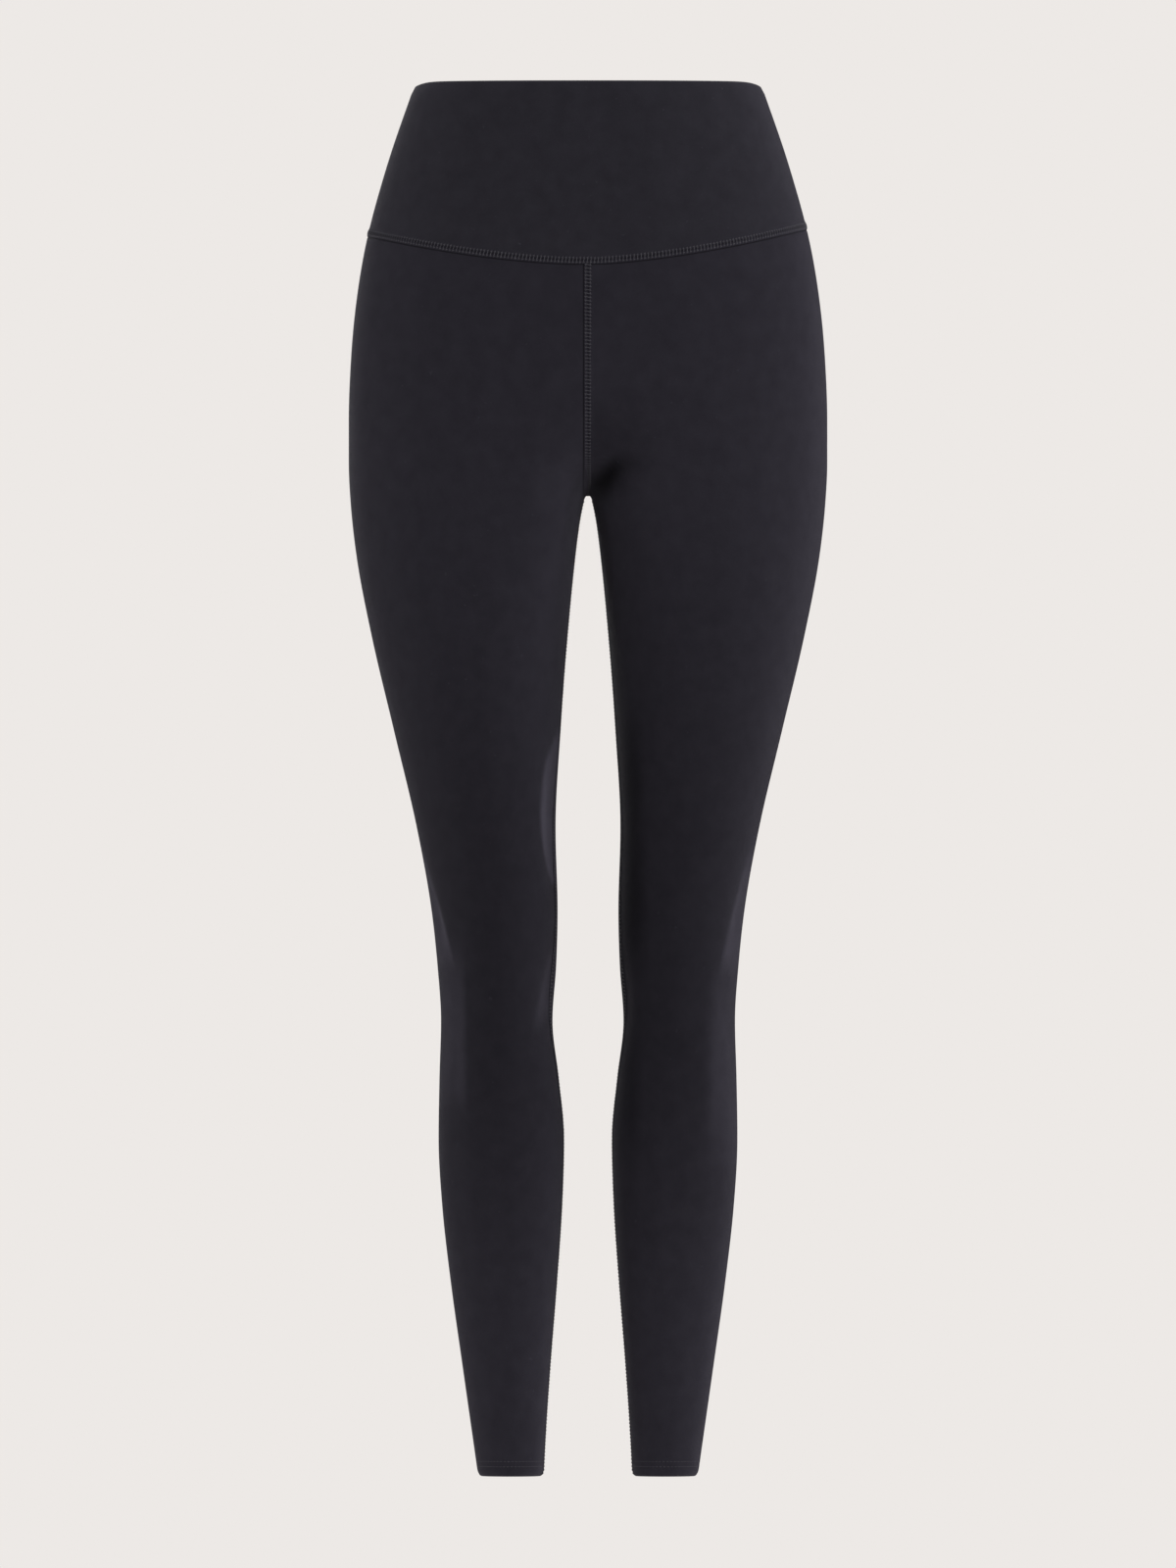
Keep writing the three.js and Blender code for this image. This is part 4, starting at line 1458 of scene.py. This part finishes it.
class StitchTree:
    """The node tree that lays stitches along a seam's path.

    The path is a mesh of edges whose skin_normal attribute says which way is out. In a stitch,
    X runs along the seam and Z stands out of the cloth. DASH_SHARE is a dash's length as a share
    of the pitch. A dash and a rung go in at so many thread radii from the cloth, at their SINK,
    and bend towards a point at so many times the rise, their TOP.
    """

    PATH_NORMAL = "skin_normal"
    DASH_SHARE = 0.64
    DASH_SINK = -0.9
    DASH_TOP = 2.0
    DASH_STEPS = 4
    RUNG_SINK = -0.6
    RUNG_TOP = 2.6
    RUNG_STEPS = 6
    THREAD_SIDES = 4

    def __init__(self) -> None:
        """Builds the tree."""
        self.tree = bpy.data.node_groups.new("SeamStitches", "GeometryNodeTree")
        self.tree.is_modifier = True
        self.sockets: dict[str, str] = {}
        self.add_socket("Path", "NodeSocketGeometry", None)
        self.add_socket("Pitch", "NodeSocketFloat", 0.0026)
        self.add_socket("Rows Apart", "NodeSocketFloat", 0.0032)
        self.add_socket("Rung Overhang", "NodeSocketFloat", 0.0008)
        self.add_socket("Rung Slant", "NodeSocketFloat", 0.0006)
        self.add_socket("Rise", "NodeSocketFloat", 0.0004)
        self.add_socket("Thread Radius", "NodeSocketFloat", 0.00026)
        self.add_socket("Ladder", "NodeSocketBool", True)
        self.add_socket("Unevenness", "NodeSocketFloat", 0.05)
        self.add_socket("Seed", "NodeSocketInt", 7)
        self.add_socket("Thread", "NodeSocketMaterial", None)
        self.tree.interface.new_socket(
            name="Stitches", in_out="OUTPUT", socket_type="NodeSocketGeometry"
        )
        self.kit = NodeKit(self.tree)
        self.given = self.kit.add("NodeGroupInput").outputs
        self.build()

    def add_socket(self, name: str, kind: str, value: object) -> None:
        """Adds a named input and keeps its identifier.

        Args:
            name: The input's name.
            kind: Its socket type.
            value: Its first value, or None.
        """
        made = self.tree.interface.new_socket(name=name, in_out="INPUT", socket_type=kind)
        if value is not None:
            made.default_value = value
        self.sockets[name] = made.identifier

    def place(self, x: object, y: object, z: object) -> bpy.types.NodeSocket:
        """A point of the stitch."""
        return self.kit.add("ShaderNodeCombineXYZ", {0: x, 1: y, 2: z}).outputs[0]

    def thread(self, start: object, middle: object, end: object, steps: int) -> bpy.types.NodeSocket:
        """A thread that bends over the cloth from one point to another.

        Args:
            start: Where it comes out.
            middle: The point that it bends towards.
            end: Where it goes in.
            steps: Steps along it.

        Returns:
            The thread's mesh.
        """
        line = self.kit.add(
            "GeometryNodeCurveQuadraticBezier",
            {"Resolution": steps, "Start": start, "Middle": middle, "End": end},
        )
        ring = self.kit.add(
            "GeometryNodeCurvePrimitiveCircle",
            {"Resolution": self.THREAD_SIDES, "Radius": self.given["Thread Radius"]},
        )
        swept = self.kit.add(
            "GeometryNodeCurveToMesh",
            {"Curve": line.outputs[0], "Profile Curve": ring.outputs[0], "Fill Caps": True},
        )
        return swept.outputs[0]

    def dash(self, y: object) -> bpy.types.NodeSocket:
        """A thread along the seam at this distance beside it, with a gap to the next."""
        half = self.kit.math("MULTIPLY", self.given["Pitch"], self.DASH_SHARE / 2.0)
        low = self.kit.math("MULTIPLY", self.given["Thread Radius"], self.DASH_SINK)
        top = self.kit.math("MULTIPLY", self.given["Rise"], self.DASH_TOP)
        behind = self.kit.math("MULTIPLY", half, -1.0)
        ends = [self.place(x, y, z) for x, z in ((behind, low), (0.0, top), (half, low))]
        return self.thread(*ends, self.DASH_STEPS)

    def build(self) -> None:
        """Joins the threads of one stitch and sets a stitch at each pitch of the path."""
        kit, given = self.kit, self.given
        half_rows = kit.math("MULTIPLY", given["Rows Apart"], 0.5)
        other_row = kit.math("MULTIPLY", half_rows, -1.0)
        reach = kit.math("ADD", half_rows, given["Rung Overhang"])
        back_reach = kit.math("MULTIPLY", reach, -1.0)
        back_slant = kit.math("MULTIPLY", given["Rung Slant"], -1.0)
        low = kit.math("MULTIPLY", given["Thread Radius"], self.RUNG_SINK)
        rung_top = kit.math("MULTIPLY", given["Rise"], self.RUNG_TOP)
        rung = self.thread(
            self.place(back_slant, back_reach, low),
            self.place(0.0, 0.0, rung_top),
            self.place(given["Rung Slant"], reach, low),
            self.RUNG_STEPS,
        )
        ladder = kit.add("GeometryNodeJoinGeometry")
        for part in (self.dash(half_rows), self.dash(other_row), rung):
            kit.tree.links.new(part, ladder.inputs[0])
        chosen = kit.add(
            "GeometryNodeSwitch",
            {"Switch": given["Ladder"], "False": self.dash(0.0), "True": ladder.outputs[0]},
            input_type="GEOMETRY",
        )
        soft = kit.add("GeometryNodeSetShadeSmooth", {"Geometry": chosen.outputs[0]})
        path = kit.add("GeometryNodeMeshToCurve", {"Mesh": given["Path"]})
        even = kit.add(
            "GeometryNodeResampleCurve",
            {"Curve": path.outputs[0], "Length": given["Pitch"]},
            mode="LENGTH",
        )
        tangent = kit.add("GeometryNodeInputTangent")
        outwards = kit.add(
            "GeometryNodeInputNamedAttribute", {"Name": self.PATH_NORMAL}, data_type="FLOAT_VECTOR"
        )
        along = kit.add("FunctionNodeAlignRotationToVector", {"Vector": tangent.outputs[0]}, axis="X")
        stood = kit.add(
            "FunctionNodeAlignRotationToVector",
            {"Rotation": along.outputs[0], "Vector": outwards.outputs[0]},
            axis="Z",
            pivot_axis="X",
        )
        least = kit.math("SUBTRACT", 1.0, given["Unevenness"])
        most = kit.math("ADD", 1.0, given["Unevenness"])
        size = kit.add(
            "FunctionNodeRandomValue", {2: least, 3: most, "Seed": given["Seed"]}, data_type="FLOAT"
        )
        set_out = kit.add(
            "GeometryNodeInstanceOnPoints",
            {
                "Points": even.outputs[0],
                "Instance": soft.outputs[0],
                "Rotation": stood.outputs[0],
                "Scale": size.outputs[1],
            },
        )
        real = kit.add("GeometryNodeRealizeInstances", {"Geometry": set_out.outputs[0]})
        dressed = kit.add(
            "GeometryNodeSetMaterial", {"Geometry": real.outputs[0], "Material": given["Thread"]}
        )
        kit.add("NodeGroupOutput", {0: dressed.outputs[0]})


@dataclass
class SeamThread:
    """The threads of one seam, laid along a path on the cloth."""

    name: str
    points: Array
    normals: Array
    stitch: Stitch = Stitch.LADDER
    closed: bool = False
    pitch: float = 2.6
    rows_apart: float = 3.2
    overhang: float = 0.9
    slant: float = 0.5
    rise: float = 0.28
    radius: float = 0.28
    seed: int = 11

    def path(self) -> bpy.types.Object:
        """The seam's path as a mesh of edges with its normals."""
        count = len(self.points)
        edges = [(k, k + 1) for k in range(count - 1)]
        if self.closed:
            edges.append((count - 1, 0))
        mesh = bpy.data.meshes.new(self.name)
        mesh.from_pydata((self.points * METRES).tolist(), edges, [])
        attribute = mesh.attributes.new(StitchTree.PATH_NORMAL, "FLOAT_VECTOR", "POINT")
        attribute.data.foreach_set("vector", self.normals.ravel())
        made = bpy.data.objects.new(self.name, mesh)
        bpy.context.scene.collection.objects.link(made)
        return made

    def build(self, tree: StitchTree, thread: bpy.types.Material) -> bpy.types.Object:
        """Lays the stitches and turns them into a plain mesh.

        Args:
            tree: The stitches' node tree.
            thread: The thread's material.

        Returns:
            The finished object.
        """
        made = self.path()
        modifier = made.modifiers.new("stitches", "NODES")
        modifier.node_group = tree.tree
        sizes = {
            "Pitch": self.pitch,
            "Rows Apart": self.rows_apart,
            "Rung Overhang": self.overhang,
            "Rung Slant": self.slant,
            "Rise": self.rise,
            "Thread Radius": self.radius,
        }
        for name, size in sizes.items():
            modifier[tree.sockets[name]] = size * METRES
        modifier[tree.sockets["Ladder"]] = self.stitch is Stitch.LADDER
        modifier[tree.sockets["Seed"]] = self.seed
        modifier[tree.sockets["Thread"]] = thread
        bpy.context.view_layer.update()
        graph = bpy.context.evaluated_depsgraph_get()
        mesh = bpy.data.meshes.new_from_object(made.evaluated_get(graph))
        made.modifiers.clear()
        path_mesh = made.data
        made.data = mesh
        bpy.data.meshes.remove(path_mesh)
        mesh.name = self.name
        return made


@dataclass
class Seams:
    """Every line of stitching on the leggings.

    stand is how far a path lies off the cloth, and hem_sink how much closer a hem's row lies.
    top_gap is left between the centre seams and the waist seam, crotch_gap between them and the
    crotch, and inseam_gaps over and under an inseam.
    """

    cloth: LegPanel
    spacing: float = 2.0
    hem_rows: tuple[float, ...] = (7.2, 10.9)
    stand: float = 0.2
    hem_sink: float = 0.28
    top_gap: float = 3.4
    crotch_gap: float = 0.05
    inseam_gaps: tuple[float, float] = (5.0, 1.5)
    waist_steps: int = 120
    centre_steps: int = 160
    hem_steps: int = 180

    def laid(self, points: Array, side: Side) -> tuple[Array, Array]:
        """A path laid on the cloth's outer face.

        Args:
            points: Points on the form.
            side: The wearer's side.

        Returns:
            The path's points and normals, mirrored to the side.
        """
        edge = LENGTH + points[:, 2]
        skin, normals = self.cloth.skin(points, side, edge)
        skin = skin + normals * self.stand
        skin[:, 0] *= side.value
        normals[:, 0] *= side.value
        return skin, normals

    def waist(self) -> SeamThread:
        """The stitching all round the waist seam."""
        points, normals = [], []
        quarters = ((True, Side.LEFT), (False, Side.LEFT), (False, Side.RIGHT), (True, Side.RIGHT))
        for ahead, side in quarters:
            zero = np.zeros(1)
            _, start = self.cloth.form.beside_centre(zero, self.cloth.waist.drop_at(zero, ahead), ahead)
            turn = np.linspace(float(start[0]), 0.5, self.waist_steps)[:-1]
            across = side.value * self.cloth.across_at(turn)
            across[0] = 0.0
            quarter = self.cloth.form.point(turn, self.cloth.waist.drop_at(across, ahead))
            quarter[0, 0] = 0.0
            laid, out = self.laid(quarter, side)
            backwards = ahead is (side is Side.RIGHT)
            points.append(laid[:0:-1] if backwards else laid[1:])
            normals.append(out[:0:-1] if backwards else out[1:])
        path, out = np.concatenate(points), np.concatenate(normals)
        return SeamThread("stitching_waist_seam", path, out, closed=True)

    def centre(self, ahead: bool) -> SeamThread:
        """The stitching of the centre front or centre back seam, down to the crotch."""
        top = self.cloth.waist.front if ahead else self.cloth.waist.back
        reach = CROTCH_DROP - top - self.top_gap
        share = np.linspace(0.0, 1.0, self.centre_steps)
        drop = CROTCH_DROP - self.crotch_gap - reach * (1.0 - share) ** 2
        points, _ = self.cloth.form.beside_centre(np.zeros(drop.shape), drop, ahead)
        laid, normals = self.laid(points, Side.LEFT)
        name = f"stitching_centre_{'front' if ahead else 'back'}"
        return SeamThread(name, laid, normals)

    def inseam(self, side: Side) -> SeamThread:
        """The stitching down one inseam."""
        over, under = self.inseam_gaps
        drop = np.arange(CROTCH_DROP + over, LENGTH - under, self.spacing)
        turn = np.array([self.cloth.inseam.turn_at(self.cloth.form, d) for d in drop])
        laid, normals = self.laid(self.cloth.form.point(turn, drop), side)
        return SeamThread(f"stitching_inseam_{side.name.lower()}", laid, normals)

    def hem(self, side: Side, number: int) -> SeamThread:
        """One of the plain rows round a hem."""
        drop = LENGTH - self.hem_rows[number]
        turn = np.arange(0.0, 1.0, 1.0 / self.hem_steps)
        points = self.cloth.form.point(turn, np.full(turn.shape, drop))
        laid, normals = self.laid(points, side)
        name = f"stitching_hem_{side.name.lower()}_{number + 1}"
        path = laid - normals * self.hem_sink
        return SeamThread(
            name, path, normals, Stitch.PLAIN, closed=True, pitch=2.8, rise=0.2, radius=0.2
        )

    def every(self) -> list[SeamThread]:
        """All the seams, the waist seam first."""
        made = [self.waist(), self.centre(True), self.centre(False)]
        for side in Side:
            made.append(self.inseam(side))
            made += [self.hem(side, number) for number in range(len(self.hem_rows))]
        return made


@dataclass(frozen=True)
class Softbox:
    """One studio light: a plain rectangle that points at the leggings."""

    name: str
    place: tuple[float, float, float]
    target: tuple[float, float, float]
    width: float
    height: float
    watts: float
    colour: Colour = (1.0, 1.0, 1.0)

    def build(self) -> None:
        """Puts the light in the scene. Its sizes are metres."""
        lamp = bpy.data.lights.new(self.name, "AREA")
        lamp.shape = "RECTANGLE"
        lamp.size, lamp.size_y = self.width, self.height
        lamp.energy = self.watts
        lamp.color = self.colour
        made = bpy.data.objects.new(self.name, lamp)
        made.location = self.place
        aim = Vector(self.target) - Vector(self.place)
        made.rotation_euler = aim.to_track_quat("-Z", "Y").to_euler()
        made.visible_camera = False
        bpy.context.scene.collection.objects.link(made)


@dataclass
class Studio:
    """Camera, lights, backdrop and floor. Distances are metres."""

    backdrop: Colour = linear(237, 233, 230)
    ambient: float = 0.13
    photo_width: int = 1200
    photo_height: int = 1600
    metres_per_pixel: float = 0.00071
    photo_top_edge: int = 84
    camera_distance: float = 30.0
    sensor: float = 36.0
    floor_drop: float = 1.35
    floor_radius: float = 3.0
    floor_sides: int = 96
    floor_rings: tuple[float, ...] = (0.35, 0.7, 1.0)
    floor_fade: tuple[float, float] = (0.25, 0.95)
    lights: tuple[Softbox, ...] = (
        Softbox("front_light", (0.9, -3.2, 0.6), (0.0, 0.0, -0.45), 2.0, 2.4, 36.0),
        Softbox("right_key", (2.3, -0.9, -0.1), (0.0, 0.0, -0.5), 0.9, 2.2, 22.0),
        Softbox("left_side", (-2.4, -0.1, -0.5), (0.0, 0.0, -0.5), 0.5, 2.2, 22.0),
        Softbox("overhead_wash", (0.0, 0.0, 2.4), (0.0, 0.001, 0.0), 1.6, 1.6, 12.0),
        Softbox("back_light", (-0.8, 3.2, 0.5), (0.0, 0.0, -0.45), 2.0, 2.4, 46.0),
    )

    def build(self) -> None:
        """Builds the whole studio."""
        self.build_camera()
        self.build_world()
        self.build_floor()
        for light in self.lights:
            light.build()

    def build_camera(self) -> None:
        """A level long-lens camera that frames the leggings as the photograph does."""
        data = bpy.data.cameras.new("camera")
        data.sensor_width = self.sensor
        data.lens = self.sensor * self.camera_distance / (self.photo_height * self.metres_per_pixel)
        data.clip_end = 100.0
        camera = bpy.data.objects.new("camera", data)
        below = (self.photo_height / 2.0 - self.photo_top_edge) * self.metres_per_pixel
        camera.location = (0.0, -self.camera_distance, -below)
        camera.rotation_euler = (math.pi / 2.0, 0.0, 0.0)
        bpy.context.scene.collection.objects.link(camera)
        bpy.context.scene.camera = camera
        bpy.context.scene.view_settings.view_transform = "Standard"

    def build_world(self) -> None:
        """A plain backdrop colour all round, which lights the scene less than it shows."""
        world = bpy.data.worlds.new("backdrop")
        world.use_nodes = True
        world.node_tree.nodes.clear()
        kit = NodeKit(world.node_tree)
        seen = kit.add("ShaderNodeLightPath").outputs["Is Camera Ray"]
        strength = kit.math("MULTIPLY_ADD", seen, 1.0 - self.ambient, self.ambient)
        shader = kit.add("ShaderNodeBackground", {"Color": (*self.backdrop, 1.0), "Strength": strength})
        kit.add("ShaderNodeOutputWorld", {"Surface": shader.outputs[0]})
        bpy.context.scene.world = world

    def build_floor(self) -> None:
        """A pale round floor that fades into the backdrop."""
        sides, rings = self.floor_sides, self.floor_rings
        points = [(0.0, 0.0, -self.floor_drop)]
        for ring in rings:
            for k in range(sides):
                angle = FULL_TURN * k / sides
                reach = ring * self.floor_radius
                points.append((reach * math.cos(angle), reach * math.sin(angle), -self.floor_drop))
        faces: list[tuple[int, ...]] = [(0, 1 + k, 1 + (k + 1) % sides) for k in range(sides)]
        for number in range(len(rings) - 1):
            inner, outer = 1 + number * sides, 1 + (number + 1) * sides
            for k in range(sides):
                after = (k + 1) % sides
                faces.append((inner + k, outer + k, outer + after, inner + after))
        mesh = bpy.data.meshes.new("floor")
        mesh.from_pydata(points, [], faces)
        floor = bpy.data.objects.new("floor", mesh)
        bpy.context.scene.collection.objects.link(floor)
        floor.data.materials.append(self.floor_material())

    def floor_material(self) -> bpy.types.Material:
        """Pale matt floor paint that thins out towards the rim."""
        material = bpy.data.materials.new("floor_paint")
        material.use_nodes = True
        material.node_tree.nodes.clear()
        kit = NodeKit(material.node_tree)
        place = kit.add("ShaderNodeTexCoord").outputs["Object"]
        flat = kit.add("ShaderNodeVectorMath", {0: place, 1: (1.0, 1.0, 0.0)}, operation="MULTIPLY")
        reach = kit.add("ShaderNodeVectorMath", {0: flat.outputs[0]}, operation="LENGTH")
        inside = kit.math("DIVIDE", reach.outputs["Value"], self.floor_radius)
        start, end = self.floor_fade
        fade = kit.add(
            "ShaderNodeMapRange",
            {"Value": inside, "From Min": start, "From Max": end, "To Min": 1.0, "To Max": 0.0},
            interpolation_type="SMOOTHSTEP",
        )
        shader = kit.add(
            "ShaderNodeBsdfPrincipled",
            {"Base Color": (*self.backdrop, 1.0), "Roughness": 0.9, "Alpha": fade.outputs[0]},
        )
        kit.add("ShaderNodeOutputMaterial", {"Surface": shader.outputs[0]})
        return material


@dataclass(frozen=True)
class Cut:
    """How a panel is cut: smaller than it is worn, because the cloth stretches.

    around and down are the cut cloth's share of the worn cloth round the body and down it.
    """

    around: float = 0.86
    down: float = 0.97

    def declare(self, piece: bpy.types.Object) -> None:
        """Logs the flat size that a panel is cut to, from its cloth coordinates.

        Args:
            piece: The panel, a closed shell.
        """
        mesh = piece.data
        uv = np.zeros(len(mesh.loops) * 2, np.float32)
        mesh.uv_layers[UV_NAME].data.foreach_get("uv", uv)
        spans = uv.reshape(-1, 2).max(0) - uv.reshape(-1, 2).min(0)
        areas = np.zeros(len(mesh.polygons), np.float32)
        mesh.polygons.foreach_get("area", areas)
        width, length = float(spans[0]) * self.around, float(spans[1]) * self.down
        log.info("%s is cut %.0f x %.0f mm", piece.name, width / METRES, length / METRES)


def triangles(piece: bpy.types.Object) -> int:
    """How many triangles a piece has."""
    return sum(len(face.vertices) - 2 for face in piece.data.polygons)


def corners(box: tuple[Vector, Vector]) -> list[list[float]]:
    """A box's lowest and highest corner as plain numbers."""
    return [[float(value) for value in corner] for corner in box]


def main() -> None:
    """Builds the studio, the cloth panels and their seams, and reports each piece."""
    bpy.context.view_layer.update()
    Studio().build()
    groups = Groups()
    jersey = ClothFinish(
        "brushed_jersey",
        deep=linear(38, 36.2, 43.4),
        light=linear(55, 53, 61.4),
        hip_painted_light=0.4,
        ankle_painted_light=0.45,
    ).made(groups)
    # The waistband's copy of the jersey is painted paler than the legs', for the brighter light on it.
    double = ClothFinish(
        "waistband_jersey", deep=linear(46, 44.3, 51.6), light=linear(67, 65.2, 74)
    ).made(groups)
    thread = ThreadFinish(
        "seam_thread", deep=linear(58, 57, 64), light=linear(88, 86, 96)
    ).made(groups)

    form = WornForm()
    sharp = SeamRelief(shoulder=0.45, edge_groove=0.3)
    soft = SeamRelief(shoulder=1.6)
    legs = {
        Side.LEFT: LegPanel(form, side=Side.LEFT, centre_relief=soft, waist_relief=sharp),
        Side.RIGHT: LegPanel(form, side=Side.RIGHT, centre_relief=sharp, waist_relief=sharp),
    }
    bands = [WaistbandPanel(form, ahead=True), WaistbandPanel(form, ahead=False)]
    panels = {}
    finished = [(band, double) for band in bands] + [(leg, jersey) for leg in legs.values()]
    for panel, finish in finished:
        piece = panel.build()
        piece.data.materials.append(finish)
        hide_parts(panel.node)
        panels[panel.name] = piece

    tree = StitchTree()
    threads = {}
    for seam in Seams(legs[Side.LEFT]).every():
        threads[seam.name] = seam.build(tree, thread)

    for piece in [*panels.values(), *threads.values()]:
        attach(piece, BODY)
        log.info("%s has %d triangles", piece.name, triangles(piece))

    cut = Cut()
    sewn_on = {
        "waistband_panel_front": ["stitching_waist_seam"],
        "waistband_panel_back": [],
        "leg_panel_left": [name for name in threads if "left" in name or "front" in name],
        "leg_panel_right": [name for name in threads if "right" in name or "back" in name],
    }
    for name, names in sewn_on.items():
        cut.declare(panels[name])


if __name__ == "__main__":
    main()
